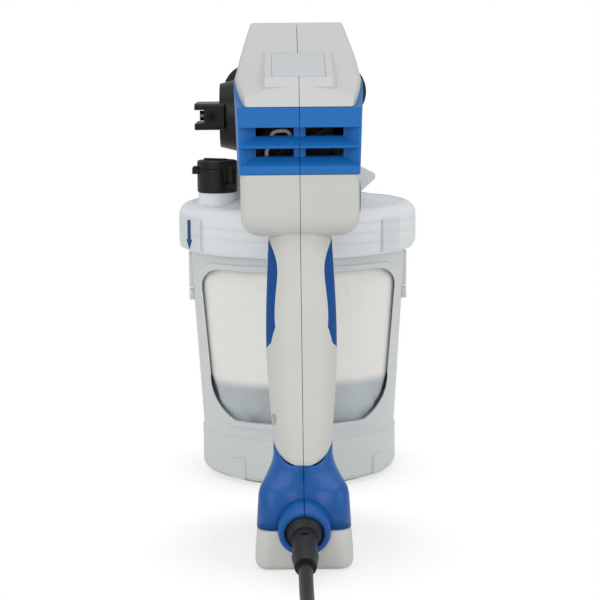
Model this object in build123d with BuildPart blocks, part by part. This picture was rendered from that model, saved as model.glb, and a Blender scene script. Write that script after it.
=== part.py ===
from build123d import *
from math import atan2, cos, degrees, pi, radians, sin, tan
import os

# Handheld corded airless paint sprayer with a bagged cup.
# Frame: +Y is the spray direction, +X the user's right hand, +Z up.
# The origin is the centre of the cup's base, on the surface that the sprayer stands on.
# All sizes are millimetres.

# ---------------------------------------------------------------- general fits
wall = 2.4                 # moulded wall of the body and handle
seam = 0.3                 # line between the two clamshell halves
play = 0.3                 # gap between neighbouring pieces that do not fit on each other
running = 0.05             # radial clearance of a pin or shaft in its bore

# ---------------------------------------------------------------- cup
cup_height = 139.0         # top of the cup frame's visible wall
cup_top_radius = 66.0
cup_low_radius = 59.3
cup_band_height = 28.0     # plain band round the base
cup_band_radius = 60.0
cup_base_round = 4.0
cup_foot_radius = 50.0     # disc that the cup stands on
cup_foot_height = 2.6
cup_wall = 2.2
cup_floor = 4.8            # inside of the cup's bottom
cup_rim_height = 162.0     # top of the threaded rim inside the cover
liner_wall = 1.0
window_low = 39.0
window_high = 131.0
window_half_width = 58.0
window_lip = 3.0           # width of the raised lip round each window
window_lip_rise = 0.9

# ---------------------------------------------------------------- cup cover
cover_radius = 72.5
cover_low = 144.0
cover_high = 167.0
cover_wall = 2.5
cover_dome = 7.0           # rise of the cover's top from its rim to the turret
turret_radius = 24.0
turret_top = 189.4
valve_x = -48.0            # air valve, left and a little behind the cup's centre
valve_y = -25.0
valve_radius = 12.0
valve_low = 175.0
valve_split = 189.0        # parting between the valve's body and its flip lid
valve_top = 194.0

# ---------------------------------------------------------------- body
body_rear = -150.0
body_front = 48.0
body_low = 161.0           # underside of the rear of the body
vent_low = 194.4           # lower edge of the louvred shroud
underbody = 190.0          # underside of the body above the cup
body_rear_half = 31.3
body_mid_half = 34.4
hood_rear_half = 27.8
hood_mid_half = 35.5
hood_slope = 15.3          # lean of the hood's sides, degrees
ridge_y = -31.0
ridge_z = 274.6
crease_y = 22.0            # where the sides and the hood's top turn down to the front
part_rear = 229.4          # parting line of hood and shroud at the rear
part_front = 243.0         # the same, forward of the handle

# ---------------------------------------------------------------- axes
pump_z = 230.5             # axis of the pump, the outlet and the spray tip
tooth_module = 1.0
pinion_teeth = 9
gear_teeth = 27
motor_z = pump_z - tooth_module * (pinion_teeth + gear_teeth) / 2
motor_radius = 19.5
motor_rear = -118.0
motor_front = -60.0
shaft_radius = 2.5
valve_axis_y = 60.0        # prime valve, on the left of the outlet
valve_axis_z = 217.0

# ---------------------------------------------------------------- handle and foot
grip_skin = 2.0            # thickness of the soft grips
foot_height = 20.0
foot_rear = -216.5
foot_front = -128.0
foot_width = 49.8
joint_high = 58.8          # line between handle and base: an arc seen from behind
joint_low = 49.3
joint_half = 15.5

# ---------------------------------------------------------------- trigger
trigger_pivot_y = -99.0
trigger_pivot_z = 170.0
trigger_pin_radius = 2.0
trigger_width = 15.0
trigger_low = 112.0

# ---------------------------------------------------------------- cord
cord_d = 7.0
collar_z = 24.3
collar_radius = 13.3
collar_length = 16.0
socket_radius = 9.75
relief_length = 46.0
relief_fall = 15.0         # degrees that the strain relief points below level


def keep(piece, name):
    """Label one finished piece and write it as its own STEP file."""
    piece.label = name
    export_step(piece, f"parts/{name}.step")


def keep_halves(whole, name):
    """Split a moulding at the centre plane and write its left and right halves."""
    for side, shift, kept in (("left", -seam / 2, Keep.BOTTOM), ("right", seam / 2, Keep.TOP)):
        with BuildPart() as half:
            add(whole)
            split(bisect_by=Plane.YZ.offset(shift), keep=kept)
        keep(half.part, f"{name}_{side}")


os.makedirs("parts", exist_ok=True)


# ================================================================ cup frame
band_low = cup_foot_height + cup_base_round


def cup_form(grow):
    """Solid outer form of the cup frame below its rim, its wall moved out by grow."""
    with BuildPart() as form:
        with BuildSketch(Plane.XZ):
            with BuildLine():
                Polyline((0, 0), (cup_foot_radius, 0), (cup_foot_radius + 1, cup_foot_height),
                         (cup_band_radius + grow - cup_base_round, cup_foot_height))
                RadiusArc((cup_band_radius + grow - cup_base_round, cup_foot_height),
                          (cup_band_radius + grow, band_low), -cup_base_round)
                Polyline((cup_band_radius + grow, band_low), (cup_band_radius + grow, cup_band_height),
                         (cup_low_radius + grow, cup_band_height + 0.7),
                         (cup_top_radius + grow, cup_height), (0, cup_height), (0, 0))
            make_face()
        revolve(axis=Axis.Z)
    return form.part


def window_sketch(grow):
    """Outline of one window, seen from the front, on the vertical plane through the cup's axis."""
    side = window_half_width + grow
    with BuildSketch(Plane.XZ) as outline:
        with BuildLine():
            Line((0, window_high + grow), (side - 12, window_high + grow))
            ThreePointArc((side - 12, window_high + grow), (side - 4.2, window_high - 3 + grow),
                          (side, window_high - 13))
            Line((side, window_high - 13), (side - 4.5, window_low + 27))
            ThreePointArc((side - 4.5, window_low + 27), (side - 10, window_low + 8 - grow * 0.6),
                          (side - 20, window_low - grow))
            Line((side - 20, window_low - grow), (0, window_low - grow))
            mirror(about=Plane.YZ)
        make_face()
    return outline.sketch


with BuildPart() as cup_frame:
    add(cup_form(0))
    # the raised lips round the windows, front and back
    lip_ring = extrude(window_sketch(window_lip), amount=cup_top_radius * 2, both=True, mode=Mode.PRIVATE)
    add(cup_form(window_lip_rise) & lip_ring)
    # threaded rim that the cover screws over
    with BuildSketch(Plane.XY.offset(cup_height)):
        Circle(cup_top_radius + 0.7)
    extrude(amount=cup_rim_height - cup_height)
    # inside of the frame
    with BuildSketch(Plane.XZ):
        with BuildLine():
            Polyline((0, cup_floor), (cup_low_radius - cup_wall - 6, cup_floor),
                     (cup_low_radius - cup_wall, cup_floor + 6), (cup_low_radius - cup_wall, cup_band_height),
                     (cup_top_radius - cup_wall, cup_height),
                     (cup_top_radius - cup_wall, cup_rim_height + 1), (0, cup_rim_height + 1), (0, cup_floor))
        make_face()
    revolve(axis=Axis.Z, mode=Mode.SUBTRACT)
    add(extrude(window_sketch(0), amount=cup_top_radius * 2, both=True, mode=Mode.PRIVATE), mode=Mode.SUBTRACT)
    # grip ribs on the two sides, each in a long and a short piece
    for rib_low, rib_high in ((114.4, 135.6), (106.5, 112.8)):
        with BuildSketch(Plane.XY.offset(rib_low)):
            with Locations((cup_top_radius - 0.5, 0), (0.5 - cup_top_radius, 0)):
                RectangleRounded(3.3, 9, 1.2)
        extrude(amount=rib_high - rib_low)
    # four raised marks round the band, where the moulding's lugs end
    with BuildSketch(Plane.XY.offset(cup_foot_height + 1.4)):
        with PolarLocations(cup_band_radius + 0.2, 4, start_angle=-128):
            Rectangle(1.2, 10)
    extrude(amount=12)
keep(cup_frame.part, "cup_frame")

# ================================================================ cup liner (bag)
liner_gap = 0.5
liner_top_radius = cup_top_radius - cup_wall - liner_gap
liner_low_radius = cup_low_radius - cup_wall - liner_gap
with BuildPart() as cup_liner:
    with BuildSketch(Plane.XZ):
        with BuildLine():
            outer = Polyline((0, cup_floor + liner_gap), (liner_low_radius - 9, cup_floor + liner_gap),
                             (liner_low_radius - 1, cup_floor + 9), (liner_low_radius, cup_band_height),
                             (liner_top_radius, cup_height), (liner_top_radius, cup_rim_height + play),
                             (cup_top_radius + 0.7, cup_rim_height + play),
                             (cup_top_radius + 0.7, cup_rim_height + play + liner_wall),
                             (liner_top_radius - liner_wall, cup_rim_height + play + liner_wall),
                             (liner_top_radius - liner_wall, cup_height),
                             (liner_low_radius - liner_wall, cup_band_height),
                             (liner_low_radius - 1 - liner_wall, cup_floor + 9),
                             (liner_low_radius - 9, cup_floor + liner_gap + liner_wall),
                             (0, cup_floor + liner_gap + liner_wall), close=True)
        make_face()
    revolve(axis=Axis.Z)
keep(cup_liner.part, "cup_liner")

# ================================================================ cover gasket
gasket_low = cup_rim_height + play + liner_wall
gasket_high = gasket_low + 1.2
with BuildPart() as cover_gasket:
    with BuildSketch(Plane.XY.offset(gasket_low)):
        Circle(cup_top_radius + 0.7)
        Circle(liner_top_radius - liner_wall, mode=Mode.SUBTRACT)
    extrude(amount=gasket_high - gasket_low)
keep(cover_gasket.part, "cover_gasket")

# ================================================================ cup cover
inlet_radius = 9.0
inlet_bore = inlet_radius + running
return_x = -15.0
return_radius = 3.0
with BuildPart() as cup_cover:
    with BuildSketch(Plane.XZ):
        with BuildLine():
            Polyline((cover_radius - 3, cover_low), (cover_radius, cover_low + 6), (cover_radius, cover_high - 7))
            RadiusArc((cover_radius, cover_high - 7), (cover_radius - 8, cover_high), -8)
            Polyline((cover_radius - 8, cover_high), (turret_radius + 4, cover_high + cover_dome),
                     (turret_radius, cover_high + cover_dome + 2), (turret_radius - 1, turret_top),
                     (inlet_bore, turret_top), (inlet_bore, cover_high + 2),
                     (inlet_bore + 4, gasket_high + 1.6), (liner_top_radius - 3, gasket_high),
                     (cup_top_radius + 0.7 + play, gasket_high), (cup_top_radius + 0.7 + play, cover_low),
                     (cover_radius - 3, cover_low))
        make_face()
    revolve(axis=Axis.Z)
    # raised pads on the collar that give the hand a hold
    for pad_angle, pad_width in ((-90 - 64, 32), (-90 + 49, 18)):
        with BuildSketch(Plane.XY.offset(cover_low + 6)):
            with PolarLocations(cover_radius - 0.7, 2, start_angle=pad_angle):
                RectangleRounded(3.4, pad_width, 1.4)
        extrude(amount=cover_high - 9 - cover_low - 6)
    # twist-lock ears beside the turret
    with BuildSketch(Plane.XZ.offset(-6)):
        with BuildLine():
            Polyline((turret_radius - 3, cover_high + cover_dome), (turret_radius - 3, turret_top - 1),
                     (turret_radius + 14, turret_top - 1), (turret_radius + 24, turret_top - 6),
                     (turret_radius + 24, turret_top - 9), (turret_radius + 13, cover_high + 4),
                     (turret_radius - 3, cover_high + cover_dome))
            mirror(about=Plane.YZ)
        make_face()
    extrude(amount=12, both=False)
    # neck of the air valve
    with BuildSketch(Plane.XY.offset(cover_high - 2)):
        with Locations((valve_x, valve_y)):
            Circle(valve_radius - 0.6)
    extrude(amount=valve_low - cover_high + 2)
    # bores: air valve, return tube, inlet
    with Locations(Plane((valve_x, valve_y, cover_low))):
        Cylinder(valve_radius - 3, valve_low - cover_low + 1, align=(Align.CENTER, Align.CENTER, Align.MIN),
                 mode=Mode.SUBTRACT)
    with Locations(Plane((return_x, 0, cover_low))):
        Cylinder(return_radius + running, turret_top, align=(Align.CENTER, Align.CENTER, Align.MIN),
                 mode=Mode.SUBTRACT)
    with Locations(Plane((0, 0, cover_low))):
        Cylinder(inlet_bore, turret_top, align=(Align.CENTER, Align.CENTER, Align.MIN), mode=Mode.SUBTRACT)
keep(cup_cover.part, "cup_cover")

# ================================================================ air valve: body and flip lid
lid_hinge_x = valve_x - valve_radius - 1.5
lid_hinge_z = valve_split + play / 2
lid_pin_radius = 0.8
ear_width = 2.0
ear_start = 2.3            # from the middle of the hinge to each ear


def rod_y(radius, z, rear, front, x=0.0):
    """Round bar along the spray direction, from rear to front."""
    with BuildPart() as rod:
        with BuildSketch(Plane.XZ.offset(-rear)):
            with Locations((x, z)):
                Circle(radius)
        extrude(amount=rear - front)
    return rod.part


with BuildPart() as air_valve:
    with Locations(Plane((valve_x, valve_y, valve_low))):
        Cylinder(valve_radius, valve_split - valve_low, align=(Align.CENTER, Align.CENTER, Align.MIN))
    chamfer(air_valve.faces().sort_by(Axis.Z)[0].edges(), 0.6)
    # spigot that plugs the neck, with the air duct through it
    with Locations(Plane((valve_x, valve_y, cover_high - 1))):
        Cylinder(valve_radius - 3 - running, valve_low - cover_high + 2,
                 align=(Align.CENTER, Align.CENTER, Align.MIN))
    with Locations(Plane((valve_x, valve_y, cover_high - 5))):
        Cylinder(2.5, valve_split, align=(Align.CENTER, Align.CENTER, Align.MIN), mode=Mode.SUBTRACT)
    # thumb recess under the lid's front edge
    with BuildSketch(Plane.XY.offset(valve_split - 9)):
        with Locations((valve_x + valve_radius * 0.62, valve_y - valve_radius * 0.78)):
            Circle(5)
    extrude(amount=9, mode=Mode.SUBTRACT)
    # two hinge ears on the outer side, bored for the lid's pin
    for ear_y in (valve_y - ear_start - ear_width, valve_y + ear_start):
        with BuildSketch(Plane.XZ.offset(-ear_y)):
            with Locations((lid_hinge_x, lid_hinge_z)):
                Circle(1.3)
            with Locations((lid_hinge_x + 1.2, lid_hinge_z - 1.6)):
                Rectangle(5, 3.2)
        extrude(amount=-ear_width)
    ear_span = ear_start + ear_width
    add(rod_y(lid_pin_radius + running, lid_hinge_z, valve_y - ear_span, valve_y + ear_span, lid_hinge_x),
        mode=Mode.SUBTRACT)
keep(air_valve.part, "air_valve")

with BuildPart() as valve_lid:
    with Locations(Plane((valve_x, valve_y, valve_split + play))):
        Cylinder(valve_radius, valve_top - valve_split - play, align=(Align.CENTER, Align.CENTER, Align.MIN))
    fillet(valve_lid.faces().sort_by(Axis.Z)[-1].edges(), 1.2)
    # plug that closes the duct, short enough to swing clear of it
    with Locations(Plane((valve_x, valve_y, valve_split - 2))):
        Cylinder(2.0, 4, align=(Align.CENTER, Align.CENTER, Align.MIN))
    # raised crest along the top that the thumb pushes
    with BuildSketch(Plane.XY.offset(valve_top - 0.6)):
        with Locations((valve_x - 1, valve_y)):
            SlotOverall(16, 3, rotation=-30)
    extrude(amount=1.6)
    # hinge knuckle and the pin that runs in the ears
    add(rod_y(1.2, lid_hinge_z, valve_y - 2, valve_y + 2, lid_hinge_x))
    with BuildSketch(Plane.XZ.offset(2 - valve_y)):
        with Locations((lid_hinge_x + 1.5, lid_hinge_z + 0.75)):
            Rectangle(3, 0.9)
    extrude(amount=-4)
    add(rod_y(lid_pin_radius, lid_hinge_z, valve_y - ear_span, valve_y + ear_span, lid_hinge_x))
keep(valve_lid.part, "valve_lid")


# ================================================================ body forms
def half_plan(rear_half, mid_half, front_half, rear, front, inset):
    """Plan outline of the body: straight sides that curve in to the rear and taper to the front."""
    with BuildSketch(Plane.XY) as outline:
        with BuildLine():
            Polyline((0, front), (front_half, front), (mid_half, crease_y), (mid_half, -70))
            TangentArc((mid_half, -70), (rear_half, rear), tangent=(0, -1))
            Line((rear_half, rear), (0, rear))
            mirror(about=Plane.YZ)
        make_face()
        fillet(outline.vertices().sort_by(Axis.Y)[:2], 4)
        if inset:
            offset(amount=-inset, kind=Kind.INTERSECTION)
    return outline.sketch


hood_top = 290.0           # above the whole hood, where its form is cut off
lip_y, lip_z = -138.0, 239.8      # top of the rear lip, on the centre line
rear_crown = 7.2           # fall of the rear slope from its middle to 40 mm out


def hood_crown(inset):
    """Block below the hood's top: level across at the ridge, crowned towards the rear."""
    slope = (ridge_z - lip_z) / (ridge_y - lip_y)
    rear_z = lip_z - slope * (lip_y - body_rear + 1) - inset
    ridge = ridge_z - inset
    with BuildPart() as block:
        with BuildSketch(Plane.XZ.offset(1 - body_rear)):
            with BuildLine():
                Polyline((-40, rear_z - rear_crown), (-40, 180), (40, 180), (40, rear_z - rear_crown))
                ThreePointArc((40, rear_z - rear_crown), (0, rear_z), (-40, rear_z - rear_crown))
            make_face()
        with BuildSketch(Plane.XZ.offset(-ridge_y)):
            with BuildLine():
                Polyline((-40, ridge), (-40, 180), (40, 180), (40, ridge), close=True)
            make_face()
        loft(ruled=True)
        with BuildSketch(Plane.XZ.offset(-ridge_y)):
            with Locations((0, 235)):
                Rectangle(80, 110)
        extrude(amount=ridge_y - body_front - 5)
    return block.part


def hood_form(inset):
    """Hood: side profile met by a plan outline whose sides lean inward."""
    lean = (hood_top - part_front) * tan(radians(hood_slope))
    lip_slope = (lip_z - part_rear) / (lip_y - body_rear)
    with BuildPart() as form:
        for height, drawn_in in ((part_front, 0), (hood_top, lean)):
            with BuildSketch(Plane.XY.offset(height)):
                add(half_plan(hood_rear_half - drawn_in, hood_mid_half - drawn_in, 29 - drawn_in,
                              body_rear - 1, body_front + 2, inset))
        loft(ruled=True)
        with BuildSketch(Plane.XY.offset(part_front)):
            add(half_plan(hood_rear_half, hood_mid_half, 29, body_rear - 1, body_front + 2, inset))
        extrude(amount=part_rear - 6 - part_front)
        with BuildSketch(Plane.YZ):
            with BuildLine():
                Polyline((body_rear + inset, 180), (body_rear + inset, part_rear),
                         (body_rear + inset + 24, part_rear + 24 * lip_slope), (-100, hood_top),
                         (ridge_y, ridge_z - inset), (crease_y, 268 - inset), (body_front - inset, 252 - inset),
                         (body_front - inset, 180), (body_rear + inset, 180))
            make_face()
        extrude(amount=60, both=True, mode=Mode.INTERSECT)
        add(hood_crown(inset), mode=Mode.INTERSECT)
    return form.part


def shroud_form(inset):
    """Blue band round the body, a little wider at the top, between the plan outline and the rear face."""
    with BuildPart() as form:
        for height, spread in ((vent_low, 0), (vent_low + 60, 2.0)):
            with BuildSketch(Plane.XY.offset(height)):
                add(half_plan(body_rear_half + spread, body_mid_half + spread, 29.5 + spread,
                              body_rear - 3, body_front, inset))
        loft(ruled=True)
        with BuildSketch(Plane.YZ):
            with BuildLine():
                Polyline((body_rear + inset, 180), (body_rear + inset, 300), (body_front - inset, 300),
                         (body_front - inset, 180), close=True)
            make_face()
        extrude(amount=60, both=True, mode=Mode.INTERSECT)
    return form.part


def side_cut(points, reach=60):
    """Block that runs through the body from side to side, drawn in the side view."""
    with BuildPart() as block:
        with BuildSketch(Plane.YZ):
            with BuildLine():
                Polyline(*points, close=True)
            make_face()
        extrude(amount=reach, both=True)
    return block.part


parting = [(body_rear - 5, part_rear), (-143, part_rear), (-95, part_front - 1.5), (-60, part_front),
           (body_front + 5, part_front)]
above_parting = side_cut(parting + [(body_front + 5, 320), (body_rear - 5, 320)])
below_parting = side_cut([(y, z + play) for y, z in parting] + [(body_front + 5, 100), (body_rear - 5, 100)])

with BuildPart() as pump_hole:
    with BuildSketch(Plane.XZ.offset(-body_front + 6)):
        with Locations((0, pump_z)):
            Circle(21.5)
    extrude(amount=-12)
hood_front_hole = pump_hole.part

# ================================================================ hood (two halves)
label_rear, label_front = -130.0, -89.5
pad_rear_y, pad_rear_z = -131.0, 244.7
pad_front_y, pad_front_z = -89.0, 257.3
pad_half = 19.5
with BuildPart() as label_pad:
    with BuildSketch(Plane.YZ):
        with BuildLine():
            Polyline((lip_y, lip_z), (pad_rear_y, pad_rear_z), (pad_front_y, pad_front_z), (-83, 257.7),
                     (-83, 252), (lip_y, lip_z - 4), close=True)
        make_face()
    extrude(amount=pad_half, both=True)
    chamfer(label_pad.edges().filter_by(lambda e: abs(e.center().X) > pad_half - 0.1
                                        and e.center().Z > 241.5 and e.length > 7), 1.5)
    # shallow bare recess for a label
    pad_slope = (pad_front_z - pad_rear_z) / (pad_front_y - pad_rear_y)
    recess_rear_z = pad_rear_z + pad_slope * (label_rear - pad_rear_y) - 0.5
    recess_front_z = pad_rear_z + pad_slope * (label_front - pad_rear_y) - 0.5
    with BuildSketch(Plane.YZ):
        with BuildLine():
            Polyline((label_rear, recess_rear_z), (label_front, recess_front_z), (label_front, 270),
                     (label_rear, 270), close=True)
        make_face()
    extrude(amount=14.6, both=True, mode=Mode.SUBTRACT)

with BuildPart() as hood:
    add(hood_form(0))
    fillet(hood.edges().filter_by(lambda e: e.center().Z > 238 and abs(e.center().X) > 12
                                  and abs(e.center().Z - part_front) > 0.2
                                  and e.length > 12 and abs(e.tangent_at(0.5).Y) > 0.6), 2)
    add(label_pad.part)
    add(hood_form(wall), mode=Mode.SUBTRACT)
    add(below_parting, mode=Mode.SUBTRACT)
    add(hood_front_hole, mode=Mode.SUBTRACT)
keep_halves(hood.part, "hood")

# ================================================================ louvred shroud (two halves)
slot_low_z = (198.9, 209.6)       # lip of each louvre, lowest first
slot_high_z = (207.6, 219.0)      # top of each opening
recess = 7.0                      # depth of the louvres
louvre_rise = 4.4          # from each lip up to its inner edge
mullion_half = 3.1
opening_half = 23.2
with BuildPart() as vent_shroud:
    add(shroud_form(0))
    add(shroud_form(wall), mode=Mode.SUBTRACT)
    add(above_parting, mode=Mode.SUBTRACT)
    add(side_cut([(body_rear - 5, 100), (body_rear - 5, vent_low), (body_front + 5, vent_low),
                  (body_front + 5, 100)]), mode=Mode.SUBTRACT)
    # side walls stop short of the nose cover at the front
    add(side_cut([(body_front - wall - 0.1, 100), (body_front - wall - 0.1, 300), (body_front + 5, 300),
                  (body_front + 5, 100)]), mode=Mode.SUBTRACT)
    # set the rear wall back between the lips, then add the louvres
    with BuildSketch(Plane.XY.offset(slot_low_z[0])):
        with Locations((0, body_rear + recess / 2 - 3)):
            Rectangle(90, recess + 6)
    extrude(amount=slot_high_z[1] - slot_low_z[0], mode=Mode.SUBTRACT)
    with BuildSketch(Plane.XY.offset(slot_low_z[0] - 1)):
        with Locations((0, body_rear + recess + wall / 2)):
            Rectangle(2 * body_rear_half + 1.6, wall)
    extrude(amount=slot_high_z[1] - slot_low_z[0] + 3)
    for low, high in zip(slot_low_z, slot_high_z):
        with BuildSketch(Plane.XZ.offset(-body_rear)):
            with Locations(((opening_half + mullion_half) / 2, (low + high) / 2),
                           (-(opening_half + mullion_half) / 2, (low + high) / 2)):
                Rectangle(opening_half - mullion_half, high - low - 0.2)
        extrude(amount=-recess - wall - 1, mode=Mode.SUBTRACT)
    for low in slot_low_z:
        with BuildSketch(Plane.YZ):
            with BuildLine():
                Polyline((body_rear + 0.4, low - 1.5), (body_rear, low - 1.1), (body_rear, low - 0.4),
                         (body_rear + 0.6, low), (body_rear + recess, low + louvre_rise),
                         (body_rear + recess + wall, low + louvre_rise + 0.4),
                         (body_rear + recess + wall, low + louvre_rise - 1.6),
                         (body_rear + recess, low + louvre_rise - 1.8), (body_rear + 1, low - 1.5), close=True)
            make_face()
        louvre = extrude(amount=body_rear_half + 1, both=True, mode=Mode.PRIVATE)
        add(louvre & shroud_form(0))
    # slanted posts from the openings' outer ends to the cheeks
    for side in (-1, 1):
        with BuildSketch(Plane.XY.offset(slot_low_z[0] - 1)):
            with BuildLine():
                Polyline((side * opening_half, body_rear + recess + 0.5), (side * 34, body_rear + recess + 0.5),
                         (side * 34, body_rear + 0.8), (side * 31, body_rear + 0.8), close=True)
            make_face()
        post = extrude(amount=slot_high_z[1] - slot_low_z[0] + 2, mode=Mode.PRIVATE)
        add(post & shroud_form(0))
    # rim inside the top band that the hood's narrower rear corners stand on
    corner_rim = (shroud_form(0) - shroud_form(6)) & side_cut([(body_rear - 1, part_rear - 3.5), (-118, part_rear - 3.5),
                                                               (-118, part_front), (body_rear - 1, part_front)])
    add(corner_rim - above_parting)
    # top band's lower lip and the solid sill below the lowest louvre
    add(side_cut([(body_rear, slot_high_z[1]), (body_rear, slot_high_z[1] + 2), (body_rear + recess + 1,
                  slot_high_z[1] + 2), (body_rear + recess + 1, slot_high_z[1])], body_rear_half - 1))
keep_halves(vent_shroud.part, "vent_shroud")


# ================================================================ handle and lower body forms
def handle_form(inset):
    """Handle: rounded sections lofted down a line that leans rearward."""
    stations = [(176, 16.8, -142.0, -103.0, 13), (158, 17.1, -146.8, -107.0, 13.5), (135, 18.1, -160.6, -117.0, 15),
                (104, 18.6, -174.4, -131.0, 15.5), (80, 17.2, -184.6, -142.0, 14.5), (54, 14.7, -195.0, -152.0, 12.5),
                (44, 14.4, -199.0, -156.0, 12)]
    with BuildPart() as form:
        for height, half_width, rear, front, corner in stations:
            with BuildSketch(Plane((0, (rear + front) / 2, height))):
                RectangleRounded(2 * (half_width - inset), front - rear - 2 * inset, corner - inset)
        loft()
    return form.part


def lower_form(inset):
    """Rear of the body below the shroud: plan outline with a rounded underside."""
    with BuildPart() as form:
        with BuildSketch(Plane.XY.offset(body_low + inset)) as lower_plan:
            with BuildLine():
                Polyline((0, body_rear), (31.4, body_rear), (32.4, -96), (31, -80), (0, -80))
                mirror(about=Plane.YZ)
            make_face()
            fillet(lower_plan.vertices().filter_by(lambda v: abs(v.X) > 20), 4)
            if inset:
                offset(amount=-inset, kind=Kind.INTERSECTION)
        extrude(amount=vent_low - play - body_low - inset + (inset and 5))
        fillet(form.faces().sort_by(Axis.Z)[0].edges(), 11 - inset)
    return form.part


# ================================================================ handle and rear cover (two halves)
pin_y, pin_z = trigger_pivot_y, trigger_pivot_z
trigger_slot_half = trigger_width / 2 + 0.6
lock_y, lock_z, lock_radius = -125.5, 147.0, 3.5
lock_reach = 17.6          # the bolt's ends lie flush with the grips when it is off
dial_y, dial_z, dial_radius = -118.0, 180.0, 9.0
screw_spots = [(-141, 184, 30), (-88, 182, 29.5), (-156, 112, 13.5), (-180, 70, 12)]
screw_radius = 1.5
with BuildPart() as grip_block:
    with BuildSketch(Plane.YZ):
        with BuildLine():
            Spline((-133, body_low - 1), (-143.5, 154), (-150.5, 146.5), (-156.8, 135), (-165.3, 116))
            Polyline((-165.3, 116), (-166, 107.5), (-159, 102.5), (-150, 98), (-120, 94), (-90, body_low - 1),
                     (-133, body_low - 1))
        make_face()
    extrude(amount=60, both=True)
grip_region = grip_block.part
grip_solid = handle_form(0) & grip_region
grip_seat = grip_solid - handle_form(grip_skin + running)


def bar(y, z, radius, low_x, high_x):
    """Round bar across the body, from low_x to high_x."""
    with BuildPart() as rod:
        with BuildSketch(Plane.YZ.offset(low_x)):
            with Locations((y, z)):
                Circle(radius)
        extrude(amount=high_x - low_x)
    return rod.part


def below_joint(gap):
    """Block below the arched line between handle and base, lowered by gap."""
    high, low = joint_high - gap, joint_low - gap
    with BuildPart() as block:
        with BuildSketch(Plane.XZ.offset(100)):
            with BuildLine():
                ThreePointArc((-joint_half, high), (0, low), (joint_half, high))
                Polyline((joint_half, high), (40, high), (40, 0), (-40, 0), (-40, high), (-joint_half, high))
            make_face()
        extrude(amount=140)
    return block.part


with BuildPart() as handle:
    add(lower_form(0))
    add(handle_form(0))
    # underbody above the cup
    with BuildSketch(Plane.XY.offset(underbody)):
        add(half_plan(30, 34.2, 29.4, -84, body_front - 3, 0))
    extrude(amount=vent_low - play - underbody)
    # cavities
    add(lower_form(wall), mode=Mode.SUBTRACT)
    add(handle_form(grip_skin + wall), mode=Mode.SUBTRACT)
    with BuildSketch(Plane.XY.offset(underbody + wall)):
        add(half_plan(30, 34.2, 29.4, -84, body_front - 3, wall))
        with Locations((0, -88)):
            Rectangle(2 * (31 - wall), 20)
    extrude(amount=10, mode=Mode.SUBTRACT)
    # ribs that carry the motor can
    for rib_y, rib_low in ((-111, 181.0), (-68, underbody + 1)):
        with BuildSketch(Plane.XZ.offset(-rib_y)):
            with Locations((0, (rib_low + motor_z - 4) / 2)):
                Rectangle(2 * 30.5, motor_z - 4 - rib_low)
            with Locations((0, motor_z)):
                Circle(motor_radius + running, mode=Mode.SUBTRACT)
        extrude(amount=-3)
    # bosses for the trigger pin, and screw posts
    for side in (-1, 1):
        add(bar(pin_y, pin_z, 4.5, min(side * 12.4, side * 31), max(side * 12.4, side * 31)))
    for y, z, reach in screw_spots:
        add(bar(y, z, 3.6, -reach, reach))
    add(bar(pin_y, pin_z, trigger_pin_radius + running, -16, 16), mode=Mode.SUBTRACT)
    for y, z, reach in screw_spots:
        add(bar(y, z, screw_radius + running, -reach - 5, reach - 3), mode=Mode.SUBTRACT)
        add(bar(y, z, 3.1, -reach - 10, -reach + 4), mode=Mode.SUBTRACT)
    # openings: trigger slot, lock bolt, dial, inlet and return tubes
    with BuildSketch(Plane.XY.offset(body_low - 6)):
        with Locations((0, -104)):
            Rectangle(2 * trigger_slot_half, 28)
    extrude(amount=10, mode=Mode.SUBTRACT)
    with BuildSketch(Plane.XY.offset(lock_z - 7)):
        with Locations((0, -112)):
            Rectangle(6, 12)
    extrude(amount=14, mode=Mode.SUBTRACT)
    add(bar(lock_y, lock_z, lock_radius + running, -30, 30), mode=Mode.SUBTRACT)
    add(bar(dial_y, dial_z, dial_radius + play, 24, 40), mode=Mode.SUBTRACT)
    with Locations(Plane((0, 0, underbody))):
        Cylinder(inlet_radius + play, 20, mode=Mode.SUBTRACT)
    with Locations(Plane((return_x, 0, underbody))):
        Cylinder(return_radius + play, 20, mode=Mode.SUBTRACT)
    # seat of the soft grips, and the arched end that meets the base
    add(grip_seat, mode=Mode.SUBTRACT)
    add(below_joint(0), mode=Mode.SUBTRACT)
keep_halves(handle.part, "handle")

# ================================================================ soft grips (two halves)
with BuildPart() as grip:
    add(grip_solid)
    add(handle_form(grip_skin), mode=Mode.SUBTRACT)
    add(lower_form(-play), mode=Mode.SUBTRACT)
    add(bar(lock_y, lock_z, lock_radius + running, -30, 30), mode=Mode.SUBTRACT)
    with BuildSketch(Plane.XY.offset(lock_z - 7)):
        with Locations((0, -112)):
            Rectangle(6, 12)
    extrude(amount=14, mode=Mode.SUBTRACT)
    with BuildSketch(Plane.XY.offset(body_low - 6)):
        with Locations((0, -104)):
            Rectangle(2 * trigger_slot_half, 28)
    extrude(amount=10, mode=Mode.SUBTRACT)
keep_halves(grip.part, "grip")

# ================================================================ blue base with the cord collar (two halves)
shoulder_z = 42.0
neck_z = 51.0
base_stations = [(foot_height + play, 23.4, foot_rear + 3.5, foot_front - 1, 9), (shoulder_z, 21.6, -207.0, -138, 9),
                 (neck_z, 15.4, -198.4, -150.5, 12.5)]
relief_axis = Plane((0, -204, collar_z), x_dir=(1, 0, 0),
                    z_dir=(0, -cos(radians(relief_fall)), -sin(radians(relief_fall))))


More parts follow.
